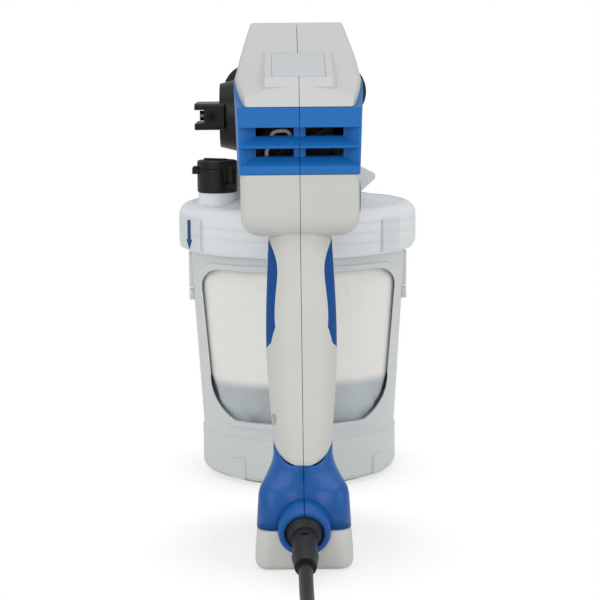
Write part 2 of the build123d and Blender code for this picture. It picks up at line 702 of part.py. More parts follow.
def base_form(inset):
    """Base: rounded block with a sloping shoulder under the handle's neck."""
    with BuildPart() as form:
        for height, half_width, rear, front, corner in base_stations:
            with BuildSketch(Plane((0, (rear + front) / 2, height))):
                RectangleRounded(2 * (half_width - inset), front - rear - 2 * inset, corner - inset)
        loft(ruled=True)
        add(handle_form(inset) & below_joint(play - inset))
    return form.part


def collar_rod(radius, start, end):
    """Round bar on the cord's outlet axis, from start to end along it."""
    with BuildPart(relief_axis) as rod:
        with BuildSketch(relief_axis.offset(start)):
            Circle(radius)
        extrude(amount=end - start)
    return rod.part


with BuildPart() as base:
    add(base_form(0))
    fillet(base.edges().filter_by(lambda e: abs(e.center().Z - shoulder_z) < 0.2), 4)
    add(collar_rod(collar_radius, -2, collar_length))
    chamfer(base.edges().filter_by(GeomType.CIRCLE).sort_by(Axis.Y)[:1], 0.8)
    add(base_form(wall), mode=Mode.SUBTRACT)
    add(collar_rod(socket_radius, -10, collar_length + 4), mode=Mode.SUBTRACT)
keep_halves(base.part, "base")

# ================================================================ foot
foot_round = 5.8
with BuildPart() as foot:
    with BuildSketch():
        with Locations((0, (foot_rear + foot_front) / 2)):
            RectangleRounded(foot_width, foot_front - foot_rear, 9)
    extrude(amount=foot_height)
    fillet(foot.faces().sort_by(Axis.Z)[0].edges(), foot_round)
    with BuildSketch(Plane.XY.offset(5)):
        with Locations((0, (foot_rear + foot_front) / 2)):
            RectangleRounded(foot_width - 6, foot_front - foot_rear - 6, 6)
    extrude(amount=foot_height, mode=Mode.SUBTRACT)
    add(collar_rod(collar_radius + play, -20, 40), mode=Mode.SUBTRACT)
keep(foot.part, "foot")

# ================================================================ strain relief
relief_flange = collar_length - 3.5
relief_end_ring = 9.0
with BuildPart() as strain_relief:
    add(collar_rod(socket_radius - running, 0, relief_flange))
    chamfer(strain_relief.edges().filter_by(GeomType.CIRCLE).sort_by(Axis.Y)[:1], 1.5)
    with BuildSketch(relief_axis.offset(relief_flange)):
        Circle(6.5)
    with BuildSketch(relief_axis.offset(relief_length - relief_end_ring)):
        Circle(6.0)
    loft()
    with BuildSketch(relief_axis.offset(relief_length - relief_end_ring)):
        Circle(6.7)
    with BuildSketch(relief_axis.offset(relief_length)):
        Circle(5.4)
    loft()
    # flex slots, two on top and two below
    for along in (relief_flange + 6, relief_flange + 12):
        with BuildSketch(relief_axis.offset(along)):
            with Locations((0, 5.8), (0, -5.8)):
                Rectangle(3.4, 3)
        extrude(amount=1.8, mode=Mode.SUBTRACT)
keep(strain_relief.part, "strain_relief")

# ================================================================ trigger, pin, spring, lock bolt
with BuildPart() as trigger:
    with BuildSketch(Plane.YZ) as trigger_side:
        with BuildLine():
            Line((-104.5, 170), (-93.5, 169))
            Spline((-93.5, 169), (-95, 156), (-99.5, 138), (-101, 124), (-98, trigger_low))
            Line((-98, trigger_low), (-104, trigger_low - 1))
            Spline((-104, trigger_low - 1), (-107.5, 126), (-106.5, 140), (-103, 156), (-104.5, 170))
        make_face()
        with Locations((pin_y, pin_z)):
            Circle(5.5)
        # arm that works the switch, and the tail that the lock bolt stops
        with BuildLine():
            Polyline((-104, 174), (-114.5, 174), (-114.5, 170), (-104, 166), close=True)
        make_face()
    extrude(amount=trigger_width / 2, both=True)
    fillet(trigger.edges().filter_by(lambda e: abs(e.center().X) > trigger_width / 2 - 0.1
                                     and e.center().Z < 160 and e.length > 8), 1.8)
    with BuildSketch(Plane.YZ):
        with Locations((-110.5, lock_z)):
            Rectangle(13, 8)
    extrude(amount=2.4, both=True)
    add(bar(pin_y, pin_z, trigger_pin_radius + running, -20, 20), mode=Mode.SUBTRACT)
keep(trigger.part, "trigger")

keep(bar(pin_y, pin_z, trigger_pin_radius, -15.5, 15.5), "trigger_pin")

with BuildPart() as trigger_spring:
    with BuildSketch(Plane.YZ.offset(-12.2)):
        with Locations((pin_y, pin_z)):
            Circle(3.6)
            Circle(trigger_pin_radius + 0.15, mode=Mode.SUBTRACT)
    extrude(amount=4.3)
keep(trigger_spring.part, "trigger_spring")

with BuildPart() as lock_bolt:
    add(bar(lock_y, lock_z, lock_radius, -lock_reach, lock_reach))
    fillet(lock_bolt.edges().filter_by(GeomType.CIRCLE), 0.8)
    add(bar(lock_y, lock_z, lock_radius + 1.4, 5.0, 9.0))
keep(lock_bolt.part, "trigger_lock_bolt")

# ================================================================ switch, control board, speed dial
with BuildPart() as trigger_switch:
    with BuildSketch(Plane.XY.offset(165)):
        with Locations((0, -128)):
            RectangleRounded(13, 18, 1)
    extrude(amount=14)
    with BuildSketch(Plane.XZ.offset(119)):
        with Locations((0, 172)):
            Rectangle(5, 5)
    extrude(amount=-3.8)
keep(trigger_switch.part, "trigger_switch")

board_x = 20.0
with BuildPart() as control_board:
    with BuildSketch(Plane.YZ.offset(board_x)):
        with Locations((-124, 179)):
            RectangleRounded(22, 22, 1)
    extrude(amount=1.6)
    # capacitor and rectifier on the inner face, the dial's potentiometer on the outer one
    add(bar(-130, 184, 4, board_x - 11, board_x))
    with BuildSketch(Plane.YZ.offset(board_x - 5)):
        with Locations((-119, 185)):
            Rectangle(9, 6)
    extrude(amount=5)
    add(bar(dial_y, dial_z, 4.5, board_x + 1.6, board_x + 4.6))
keep(control_board.part, "speed_control_board")

dial_face = 32.9
with BuildPart() as speed_dial:
    add(bar(dial_y, dial_z, dial_radius, 28.6, dial_face))
    with BuildSketch(Plane.YZ.offset(28.6)):
        with Locations((dial_y, dial_z)):
            with PolarLocations(dial_radius + 0.2, 24):
                Circle(0.55)
    extrude(amount=dial_face - 28.6 + 1, mode=Mode.SUBTRACT)
    add(bar(dial_y, dial_z, 2.5, board_x + 4.8, 28.6))
    with BuildSketch(Plane.YZ.offset(dial_face - 0.6)):
        with Locations((dial_y, dial_z + 5)):
            Rectangle(1.2, 5)
    extrude(amount=2, mode=Mode.SUBTRACT)
keep(speed_dial.part, "speed_dial")

# ================================================================ housing screws
with BuildPart() as housing_screws:
    for y, z, reach in screw_spots:
        add(bar(y, z, screw_radius, -reach + 4, reach - 4))
        add(bar(y, z, 2.8, -reach + 2, -reach + 4))
keep(housing_screws.part, "housing_screws")


# ================================================================ motor: can, end cap, rotor, fan, brushes
with BuildPart() as motor_can:
    add(rod_y(motor_radius, motor_z, motor_rear, motor_front))
    add(rod_y(motor_radius - 1.6, motor_z, motor_rear - 1, motor_front - 2), mode=Mode.SUBTRACT)
    add(rod_y(6, motor_z, motor_front - 1, motor_front + 1.5))
    add(rod_y(shaft_radius + running, motor_z, motor_front - 5, motor_front + 5), mode=Mode.SUBTRACT)
keep(motor_can.part, "motor_can")

with BuildPart() as motor_end_cap:
    add(rod_y(motor_radius, motor_z, motor_rear - 3, motor_rear))
    add(rod_y(motor_radius - 1.7, motor_z, motor_rear - 1, motor_rear + 3))
    add(rod_y(motor_radius - 4, motor_z, motor_rear, motor_rear + 4), mode=Mode.SUBTRACT)
    add(rod_y(6, motor_z, motor_rear - 5, motor_rear))
    add(rod_y(shaft_radius + running, motor_z, motor_rear - 6, motor_rear + 6), mode=Mode.SUBTRACT)
    # cooling windows round the bearing
    with BuildSketch(Plane.XZ.offset(-motor_rear + 4)):
        with Locations((0, motor_z)):
            with PolarLocations(10.5, 6):
                Circle(3)
    extrude(amount=-6, mode=Mode.SUBTRACT)
keep(motor_end_cap.part, "motor_end_cap")

commutator_radius = 8.0
with BuildPart() as motor_brushes:
    for side in (-1, 1):
        inner, outer = sorted((side * (commutator_radius + 0.1), side * (motor_radius - 4.0)))
        with BuildSketch(Plane.YZ.offset(inner)):
            with Locations((motor_rear + 7.5, motor_z)):
                Rectangle(5, 6)
        extrude(amount=outer - inner)
keep(motor_brushes.part, "motor_brushes")

with BuildPart() as motor_magnets:
    add(rod_y(motor_radius - 1.6 - running, motor_z, motor_rear + 16, motor_front - 8))
    add(rod_y(15.6, motor_z, motor_rear + 10, motor_front), mode=Mode.SUBTRACT)
    with BuildSketch(Plane.XZ.offset(-motor_rear)):
        with Locations((0, motor_z)):
            Rectangle(8, 50)
    extrude(amount=-60, mode=Mode.SUBTRACT)
keep(motor_magnets.part, "motor_magnets")

gear_rear, gear_front = -50.0, -43.0
with BuildPart() as rotor:
    add(rod_y(shaft_radius, motor_z, -137, gear_front))
    add(rod_y(commutator_radius, motor_z, motor_rear + 5, motor_rear + 13))
    add(rod_y(15.0, motor_z, motor_rear + 18, motor_front - 9))
    with BuildSketch(Plane.XZ.offset(-(motor_rear + 18))):
        with Locations((0, motor_z)):
            with PolarLocations(14, 9, start_angle=20):
                Rectangle(5, 1.6)
    extrude(amount=-40, mode=Mode.SUBTRACT)
keep(rotor.part, "motor_rotor")

fan_radius = 18.5
with BuildPart() as cooling_fan:
    add(rod_y(5, motor_z, -135.5, -126.5))
    add(rod_y(fan_radius, motor_z, -128, -126.5))
    for blade in range(9):
        blade_plane = Plane((0, 0, motor_z), x_dir=(cos(blade * 2 * pi / 9), 0, sin(blade * 2 * pi / 9)), z_dir=(0, -1, 0))
        with BuildSketch(blade_plane.offset(127.5)):
            with BuildLine():
                curve = ThreePointArc((4, 0), (11, 2.2), (fan_radius - 0.5, 7))
                Line(curve @ 1, (fan_radius - 1.6, 8.1))
                ThreePointArc((fan_radius - 1.6, 8.1), (10.5, 3.5), (4, 1.4))
                Line((4, 1.4), (4, 0))
            make_face()
        extrude(amount=7.5)
    add(rod_y(shaft_radius + running / 5, motor_z, -140, -120), mode=Mode.SUBTRACT)
keep(cooling_fan.part, "cooling_fan")


# ================================================================ gears
def gear(teeth, z, width_rear, width_front, turn):
    """Spur gear with straight-flanked teeth; turn is the angle of its first tooth in degrees."""
    pitch = tooth_module * teeth / 2
    with BuildPart() as blank:
        with BuildSketch(Plane.XZ.offset(-width_rear)):
            with Locations((0, z)):
                Circle(pitch - 1.2 * tooth_module)
                for tooth in range(teeth):
                    with Locations(Location((0, 0), turn + 360 * tooth / teeth)):
                        with Locations((pitch - 0.25 * tooth_module, 0)):
                            Trapezoid(1.75 * tooth_module, 2.1 * tooth_module, 74, rotation=-90)
        extrude(amount=width_rear - width_front)
    return blank.part


with BuildPart() as motor_pinion:
    add(gear(pinion_teeth, motor_z, gear_rear, gear_front, 90))
    add(rod_y(shaft_radius + running / 5, motor_z, -60, -30), mode=Mode.SUBTRACT)
keep(motor_pinion.part, "motor_pinion")

drive_shaft_radius = 4.0
with BuildPart() as drive_gear:
    add(gear(gear_teeth, pump_z, gear_rear, gear_front, 90))
    add(rod_y(drive_shaft_radius + running / 5, pump_z, -60, -30), mode=Mode.SUBTRACT)
keep(drive_gear.part, "drive_gear")

with BuildPart() as drive_shaft:
    add(rod_y(drive_shaft_radius, pump_z, -57.5, -6))
keep(drive_shaft.part, "drive_shaft")

# ================================================================ gear plate and shaft bearings
with BuildPart() as gear_plate:
    with BuildSketch(Plane.XZ.offset(54)):
        with Locations((0, 222)):
            RectangleRounded(58, 58, 8)
        with Locations((0, motor_z)):
            Circle(8, mode=Mode.SUBTRACT)
        with Locations((0, pump_z)):
            Circle(7, mode=Mode.SUBTRACT)
    extrude(amount=4.5)
    add(rod_y(11, motor_z, -58.5, -54) - rod_y(6.0 + running, motor_z, -60, -50))
    add(rod_y(7.0, pump_z, -58.5, -54) - rod_y(drive_shaft_radius + running, pump_z, -60, -50))
keep(gear_plate.part, "gear_plate")

# ================================================================ swash plate
swash_tilt = 8.0
piston_circle = 12.0
piston_radius = 3.5
swash_radius = 16.5
swash_face = -24.0          # highest point of the tilted face
with BuildPart() as swash:
    add(rod_y(swash_radius, pump_z, -40, swash_face))
    tilted = Plane((0, swash_face - swash_radius * tan(radians(swash_tilt)), pump_z), x_dir=(1, 0, 0),
                   z_dir=(0, cos(radians(swash_tilt)), sin(radians(swash_tilt))))
    split(bisect_by=tilted, keep=Keep.BOTTOM)
    add(rod_y(drive_shaft_radius + running / 5, pump_z, -60, 0), mode=Mode.SUBTRACT)
keep(swash.part, "swash_plate")

# ================================================================ pump block, pistons and springs
block_rear, block_front = -8.0, 46.0
piston_spots = [(piston_circle * sin(radians(120 * turn)), pump_z + piston_circle * cos(radians(120 * turn)))
                for turn in range(3)]
with BuildPart() as pump_block:
    add(rod_y(21, pump_z, block_rear, block_front))
    chamfer(pump_block.edges().filter_by(GeomType.CIRCLE), 1.2)
    with Locations(Plane((0, 0, 171.0))):
        Cylinder(inlet_radius, 48, align=(Align.CENTER, Align.CENTER, Align.MIN))
    # mounting flange that the body halves clamp
    with BuildSketch(Plane.XZ.offset(-30)):
        with Locations((0, pump_z - 8)):
            RectangleRounded(59, 44, 6)
    extrude(amount=-6)
    for x, z in piston_spots:
        add(rod_y(piston_radius + running, z, block_rear - 1, block_front - 16, x), mode=Mode.SUBTRACT)
    add(rod_y(drive_shaft_radius + running, pump_z, block_rear - 1, block_rear + 6), mode=Mode.SUBTRACT)
    with Locations(Plane((0, 0, 170))):
        Cylinder(5.5, 46, align=(Align.CENTER, Align.CENTER, Align.MIN), mode=Mode.SUBTRACT)
    with Locations(Plane((return_x, 0, 205))):
        Cylinder(return_radius + running, 13, align=(Align.CENTER, Align.CENTER, Align.MIN), mode=Mode.SUBTRACT)
keep(pump_block.part, "pump_block")

for number, (x, z) in enumerate(piston_spots, 1):
    with BuildPart() as piston:
        add(rod_y(piston_radius, z, swash_face + play, block_front - 20, x))
        add(rod_y(5.4, z, swash_face + play, swash_face + play + 2.5, x))
    keep(piston.part, f"piston_{number}")

with BuildPart() as piston_springs:
    for x, z in piston_spots:
        add(rod_y(5.0, z, swash_face + play + 2.5, block_rear, x)
            - rod_y(piston_radius + 0.15, z, -30, 0, x))
keep(piston_springs.part, "piston_springs")

# ================================================================ outlet manifold
outlet_front = 88.0
with BuildPart() as outlet_manifold:
    add(rod_y(17, pump_z, block_front, 71))
    add(rod_y(9, pump_z, 71, outlet_front))
    add(bar(valve_axis_y, valve_axis_z, 9, -29.5, 0))
    add(rod_y(2, pump_z, block_front - 1, outlet_front + 1), mode=Mode.SUBTRACT)
    add(bar(valve_axis_y, valve_axis_z, 5 + running, -35, -14), mode=Mode.SUBTRACT)
keep(outlet_manifold.part, "outlet_manifold")


# ================================================================ nose cover
def nose_form(inset):
    """Nose: a rounded rectangle at the body that narrows to a round front."""
    with BuildPart() as form:
        with BuildSketch(Plane.XZ.offset(-body_front)):
            with Locations((0, 223)):
                RectangleRounded(2 * (29 - inset), 56 - 2 * inset, 12 - inset)
        with BuildSketch(Plane.XZ.offset(-74 + inset)):
            with Locations((0, pump_z)):
                RectangleRounded(2 * (21 - inset), 42 - 2 * inset, 18 - inset)
        loft()
    return form.part


with BuildPart() as nose_cover:
    add(nose_form(0))
    add(nose_form(wall), mode=Mode.SUBTRACT)
    with BuildSketch(Plane.XZ.offset(-body_front + 1)):
        with Locations((0, 223)):
            Rectangle(2 * (29 - wall), 56 - 2 * wall)
    extrude(amount=-1.1, mode=Mode.SUBTRACT)
    add(rod_y(9.0 + play, pump_z, 60, 90), mode=Mode.SUBTRACT)
    add(bar(valve_axis_y, valve_axis_z, 9.0 + play, -40, -10), mode=Mode.SUBTRACT)
keep(nose_cover.part, "nose_cover")

# ================================================================ prime knob and its stem
knob_inner, knob_face, knob_end = -33.5, -48.6, -64.2
with BuildPart() as prime_knob:
    with BuildSketch(Plane.YZ.offset(knob_inner)):
        with Locations((valve_axis_y, valve_axis_z)):
            Circle(24)
    with BuildSketch(Plane.YZ.offset(knob_face)):
        with Locations((valve_axis_y, valve_axis_z)):
            Circle(20.4)
    loft()
    with BuildSketch(Plane.YZ.offset(knob_face + 3)):
        with Locations((valve_axis_y, valve_axis_z)):
            RectangleRounded(48, 16.6, 2)
    extrude(amount=knob_end - knob_face - 3)
    # fork along the outer edge, with the screw's round seat in its middle
    with BuildSketch(Plane.YZ.offset(knob_end)):
        with Locations((valve_axis_y, valve_axis_z)):
            Rectangle(50, 8.8)
    extrude(amount=6, mode=Mode.SUBTRACT)
    with Locations(Plane((-52, valve_axis_y - 24, valve_axis_z), z_dir=(0, -1, 0))):
        Cylinder(4.2, 3, mode=Mode.SUBTRACT)
        Cylinder(2.5, 12, mode=Mode.SUBTRACT)
    add(bar(valve_axis_y, valve_axis_z, 5 + running, knob_inner - 10, knob_inner + 1), mode=Mode.SUBTRACT)
    add(bar(valve_axis_y, valve_axis_z, 2 + running, knob_end, knob_inner), mode=Mode.SUBTRACT)
keep(prime_knob.part, "prime_knob")

with BuildPart() as prime_stem:
    add(bar(valve_axis_y, valve_axis_z, 5, knob_inner - 9.5, -15))
    add(bar(valve_axis_y, valve_axis_z, 1.6, knob_inner - 16, knob_inner), mode=Mode.SUBTRACT)
keep(prime_stem.part, "prime_valve_stem")

keep(bar(valve_axis_y, valve_axis_z, 1.55, knob_end + 6, knob_inner - 9.6)
     + bar(valve_axis_y, valve_axis_z, 3.2, knob_end + 2.4, knob_end + 6), "knob_screw")

# ================================================================ suction tube, strainer, return tube
strainer_low = 7.2         # 0.9 mm above the liner's bottom
inlet_tube_low = strainer_low + 4.8
with BuildPart() as inlet_tube:
    with BuildSketch(Plane.XY.offset(inlet_tube_low)):
        Circle(5.4)
        Circle(4.0, mode=Mode.SUBTRACT)
    extrude(amount=210 - inlet_tube_low)
keep(inlet_tube.part, "inlet_tube")

with BuildPart() as inlet_strainer:
    with BuildSketch(Plane.XY.offset(strainer_low)):
        Circle(10)
    extrude(amount=18)
    with BuildSketch(Plane.XY.offset(strainer_low + 2.8)):
        Circle(8.4)
        Circle(6.6, mode=Mode.SUBTRACT)
    extrude(amount=12.5, mode=Mode.SUBTRACT)
    with BuildSketch(Plane.XY.offset(strainer_low + 3.8)):
        with PolarLocations(9.4, 12):
            Rectangle(4, 2.4)
    extrude(amount=10, mode=Mode.SUBTRACT)
    with Locations(Plane((0, 0, strainer_low + 4.6))):
        Cylinder(5.4 + running, 30, align=(Align.CENTER, Align.CENTER, Align.MIN), mode=Mode.SUBTRACT)
keep(inlet_strainer.part, "inlet_strainer")

with BuildPart() as return_tube:
    with BuildSketch(Plane.XY.offset(128)):
        with Locations((return_x, 0)):
            Circle(return_radius)
            Circle(return_radius - 0.9, mode=Mode.SUBTRACT)
    extrude(amount=89)
keep(return_tube.part, "return_tube")

# ================================================================ tip guard, nut, spray tip, seat
tip_y = 99.0
tip_radius = 6.5
tip_handle_low = 20.0      # height of the tip's handle above the pump's axis
lobe_radius = 19.0
lobe_x = 29.0
with BuildPart() as guard_nut:
    with BuildSketch(Plane.XZ.offset(-75)):
        with Locations((0, pump_z)):
            RegularPolygon(15, 8)
    extrude(amount=-12)
    chamfer(guard_nut.faces().filter_by(Axis.Y).edges(), 0.8)
    add(rod_y(9 + running, pump_z, 70, 90), mode=Mode.SUBTRACT)
keep(guard_nut.part, "guard_nut")

with BuildPart() as tip_guard:
    add(rod_y(14, pump_z, outlet_front + 0.2, 107))
    with BuildSketch(Plane.XZ.offset(-103)):
        with Locations((-lobe_x, pump_z), (lobe_x, pump_z)):
            Circle(lobe_radius)
        with Locations((0, pump_z)):
            Rectangle(2 * lobe_x, 21)
    extrude(amount=-4)
    # flared lips in front of each lobe
    for side in (-1, 1):
        with BuildSketch(Plane.XZ.offset(-107)):
            with Locations((side * lobe_x, pump_z)):
                Circle(lobe_radius)
                with Locations((-side * 12, 0)):
                    Rectangle(30, 44, mode=Mode.SUBTRACT)
        extrude(amount=-9)
    add(rod_y(6, pump_z, 90, 130), mode=Mode.SUBTRACT)
    with Locations(Plane((0, tip_y, pump_z))):
        Cylinder(tip_radius + running, 60, mode=Mode.SUBTRACT)
    add(rod_y(5 + running, pump_z, outlet_front, 95), mode=Mode.SUBTRACT)
keep(tip_guard.part, "tip_guard")

with BuildPart() as spray_tip:
    with Locations(Plane((0, tip_y, pump_z - 13))):
        Cylinder(tip_radius, 13 + tip_handle_low, align=(Align.CENTER, Align.CENTER, Align.MIN))
    # arrow-shaped handle, held above the guard and the nut so that it turns over them
    with BuildSketch(Plane.XY.offset(pump_z + tip_handle_low)):
        with BuildLine():
            Polyline((-4, tip_y - 11), (4, tip_y - 11), (4, tip_y + 8), (8, tip_y + 8), (0, tip_y + 19),
                     (-8, tip_y + 8), (-4, tip_y + 8), close=True)
        make_face()
    extrude(amount=11)
    add(rod_y(1.6, pump_z, 80, 120), mode=Mode.SUBTRACT)
keep(spray_tip.part, "spray_tip")

with BuildPart() as tip_seat:
    add(rod_y(5, pump_z, outlet_front + 0.2, tip_y - tip_radius - 0.4))
    add(rod_y(2, pump_z, 80, 100), mode=Mode.SUBTRACT)
keep(tip_seat.part, "tip_seat")

# ================================================================ wire leads seen through the louvres
lead_radius = 1.1
with BuildPart() as wire_leads:
    with BuildLine() as lead_path:
        FilletPolyline((-17.5, -138.2, 189.5), (-17.5, -138.5, 206.0), (-14, -138.5, 216.5), (-6, -138.5, 217),
                       (-2, -138.5, 209), radius=[9.0, 3.6, 3.6])
    with BuildSketch(Plane(lead_path.line @ 0, z_dir=lead_path.line % 0)):
        Circle(lead_radius)
    sweep()
keep(wire_leads.part, "wire_leads")

# ================================================================ power cord and plug
relief_end = relief_axis.offset(relief_length).origin
first_bend = relief_axis.offset(relief_length + 24).origin
cord_route = [(relief_end.X, relief_end.Y, relief_end.Z), (first_bend.X, first_bend.Y, first_bend.Z),
              (1, -301, 3.8), (3, -336, 3.6), (12, -378, 3.6), (36, -416, 3.6), (82, -432, 3.6), (122, -408, 3.6),
              (137, -358, 3.6), (136, -311, 3.6), (110, -285, 3.6), (72, -285, 3.6), (46, -311, 3.6), (46, -343, 3.6)]
with BuildPart() as power_cord:
    points = [Vector(*p) for p in cord_route]
    radii = []
    for before, corner, after in zip(points, points[1:], points[2:]):
        turn = radians((corner - before).get_angle(after - corner))
        radii.append(0.45 * min((corner - before).length, (after - corner).length) / tan(turn / 2))
    print("cord radii", [round(r, 1) for r in radii])
    with BuildLine() as cord_path:
        FilletPolyline(*cord_route, radius=radii)
    with BuildSketch(Plane(cord_path.line @ 0, z_dir=cord_path.line % 0)):
        Circle(cord_d / 2)
    sweep()
cord_length = sum(edge.length for edge in cord_path.line.edges())
print("cord length", round(cord_length, 1), "volume over section times length",
      round(power_cord.part.volume / (pi * cord_d ** 2 / 4 * cord_length), 4))
keep(power_cord.part, "power_cord")

plug_dir = points[-1] - points[-2]
plug_axis = Plane(points[-1], x_dir=(-plug_dir.Y, plug_dir.X, 0), z_dir=plug_dir)
with BuildPart() as plug:
    with BuildSketch(plug_axis):
        Circle(cord_d / 2 + 0.8)
    with BuildSketch(plug_axis.offset(12)):
        RectangleRounded(18, 7.4, 3.2)
    with BuildSketch(plug_axis.offset(30)):
        RectangleRounded(22, 7.6, 3.4)
    loft()
keep(plug.part, "plug_body")

with BuildPart() as plug_blades:
    with BuildSketch(plug_axis.offset(30)):
        with Locations((-6.35, 0), (6.35, 0)):
            Rectangle(1.5, 6.3)
    extrude(amount=17)
keep(plug_blades.part, "plug_blades")
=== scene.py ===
import math

import bmesh
import bpy
from mathutils import Matrix, Vector


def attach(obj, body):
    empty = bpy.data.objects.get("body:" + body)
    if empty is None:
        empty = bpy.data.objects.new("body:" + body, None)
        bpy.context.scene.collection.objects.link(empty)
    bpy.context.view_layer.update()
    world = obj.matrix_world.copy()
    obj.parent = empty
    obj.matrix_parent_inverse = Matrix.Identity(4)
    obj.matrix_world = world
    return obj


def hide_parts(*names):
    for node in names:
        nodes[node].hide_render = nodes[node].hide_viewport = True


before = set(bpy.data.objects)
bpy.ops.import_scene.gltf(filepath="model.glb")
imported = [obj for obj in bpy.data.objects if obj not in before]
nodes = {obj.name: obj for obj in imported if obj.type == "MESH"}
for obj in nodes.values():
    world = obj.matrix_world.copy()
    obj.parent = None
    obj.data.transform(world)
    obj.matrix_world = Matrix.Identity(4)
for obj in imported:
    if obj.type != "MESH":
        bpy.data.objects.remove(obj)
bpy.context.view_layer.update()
scene = bpy.context.scene

# ---------------------------------------------------------------- camera
# A long lens behind the grip, a little above the body, looking down on it and turned a
# trace clockwise, as a hand-levelled tripod leaves it.
camera_data = bpy.data.cameras.new("camera")
camera_data.sensor_width = 36.0
camera_data.lens = 99.6
camera = bpy.data.objects.new("camera", camera_data)
scene.collection.objects.link(camera)
camera_place = (-0.0107, -1.02, 0.261)
camera_heading = math.radians(0.67)
camera_pitch = math.radians(8.7)
camera_roll = math.radians(-0.46)
camera.matrix_world = (Matrix.Translation(camera_place)
                       @ Matrix.Rotation(-camera_heading, 4, "Z")
                       @ Matrix.Rotation(math.radians(90) - camera_pitch, 4, "X")
                       @ Matrix.Rotation(camera_roll, 4, "Z"))
scene.camera = camera

# ---------------------------------------------------------------- floor, world and lamps
# A white floor that runs out to a white room, lit by large soft boxes. The floor's colour
# goes to full white away from the cup and the foot, and keeps a soft shadow under each.
scene.view_settings.view_transform = "Standard"
floor_radius = 5.0
foot_centre = (0, -0.172, 0)
shadow_reach, white_reach, least_white = 0.048, 0.084, 0.62
floor_form = bmesh.new()
bmesh.ops.create_circle(floor_form, cap_ends=True, segments=96, radius=floor_radius)
floor_mesh = bpy.data.meshes.new("floor")
floor_form.to_mesh(floor_mesh)
floor_form.free()
floor = bpy.data.objects.new("floor", floor_mesh)
scene.collection.objects.link(floor)
floor_material = bpy.data.materials.new("floor_white")
floor_material.use_nodes = True
floor_tree = floor_material.node_tree
floor_lit = floor_tree.nodes["Principled BSDF"]
floor_lit.inputs["Base Color"].default_value = (0.9, 0.9, 0.9, 1)
floor_lit.inputs["Roughness"].default_value = 0.6
floor_lit.inputs["Specular IOR Level"].default_value = 0.1
floor_glow = floor_tree.nodes.new("ShaderNodeEmission")
floor_glow.inputs["Strength"].default_value = 1.0
floor_spot = floor_tree.nodes.new("ShaderNodeTexCoord")
cup_reach = floor_tree.nodes.new("ShaderNodeVectorMath")
cup_reach.operation = "LENGTH"
foot_reach = floor_tree.nodes.new("ShaderNodeVectorMath")
foot_reach.operation = "DISTANCE"
foot_reach.inputs[1].default_value = foot_centre
floor_reach = floor_tree.nodes.new("ShaderNodeMath")
floor_reach.operation = "MINIMUM"
floor_fade = floor_tree.nodes.new("ShaderNodeMapRange")
floor_fade.inputs["From Min"].default_value = shadow_reach
floor_fade.inputs["From Max"].default_value = white_reach
floor_fade.inputs["To Min"].default_value = least_white
floor_fade.inputs["To Max"].default_value = 1.0
floor_seen = floor_tree.nodes.new("ShaderNodeLightPath")
floor_share = floor_tree.nodes.new("ShaderNodeMath")
floor_share.operation = "MULTIPLY"
floor_mix = floor_tree.nodes.new("ShaderNodeMixShader")
floor_link = floor_tree.links.new
floor_link(floor_spot.outputs["Object"], cup_reach.inputs[0])
floor_link(floor_spot.outputs["Object"], foot_reach.inputs[0])
floor_link(cup_reach.outputs["Value"], floor_reach.inputs[0])
floor_link(foot_reach.outputs["Value"], floor_reach.inputs[1])
floor_link(floor_reach.outputs["Value"], floor_fade.inputs["Value"])
floor_link(floor_fade.outputs["Result"], floor_share.inputs[0])
floor_link(floor_seen.outputs["Is Camera Ray"], floor_share.inputs[1])
floor_link(floor_share.outputs["Value"], floor_mix.inputs["Fac"])
floor_link(floor_lit.outputs["BSDF"], floor_mix.inputs[1])
floor_link(floor_glow.outputs["Emission"], floor_mix.inputs[2])
floor_link(floor_mix.outputs["Shader"], floor_tree.nodes["Material Output"].inputs["Surface"])
floor.data.materials.append(floor_material)

world = bpy.data.worlds.new("studio")
scene.world = world
world.use_nodes = True
world_tree = world.node_tree
sky = world_tree.nodes["Background"]
sky.inputs["Color"].default_value = (1, 1, 1, 1)
sky.inputs["Strength"].default_value = 0.6
seen_sky = world_tree.nodes.new("ShaderNodeBackground")
seen_sky.inputs["Color"].default_value = (1, 1, 1, 1)
seen_sky.inputs["Strength"].default_value = 1.0
sky_ray = world_tree.nodes.new("ShaderNodeLightPath")
sky_clear = world_tree.nodes.new("ShaderNodeMath")
sky_clear.operation = "MAXIMUM"
sky_mix = world_tree.nodes.new("ShaderNodeMixShader")
world_link = world_tree.links.new
world_link(sky_ray.outputs["Is Camera Ray"], sky_clear.inputs[0])
world_link(sky_ray.outputs["Is Transmission Ray"], sky_clear.inputs[1])
world_link(sky_clear.outputs["Value"], sky_mix.inputs["Fac"])
world_link(sky.outputs["Background"], sky_mix.inputs[1])
world_link(seen_sky.outputs["Background"], sky_mix.inputs[2])
world_link(sky_mix.outputs["Shader"], world_tree.nodes["World Output"].inputs["Surface"])


def area_lamp(name, place, aim, size, power):
    """Square soft box at place, turned to face aim."""
    lamp_data = bpy.data.lights.new(name, "AREA")
    lamp_data.size = size
    lamp_data.energy = power
    lamp = bpy.data.objects.new(name, lamp_data)
    lamp.location = place
    lamp.rotation_euler = (Vector(aim) - Vector(place)).to_track_quat("-Z", "Y").to_euler()
    scene.collection.objects.link(lamp)


area_lamp("top_box", (0.1, -0.1, 1.6), (0, -0.05, 0.1), 1.4, 7)
area_lamp("rear_box", (-0.7, -1.5, 0.9), (0, -0.1, 0.15), 1.2, 7)
area_lamp("side_box", (1.1, -0.9, 0.7), (0, 0, 0.15), 0.9, 3)


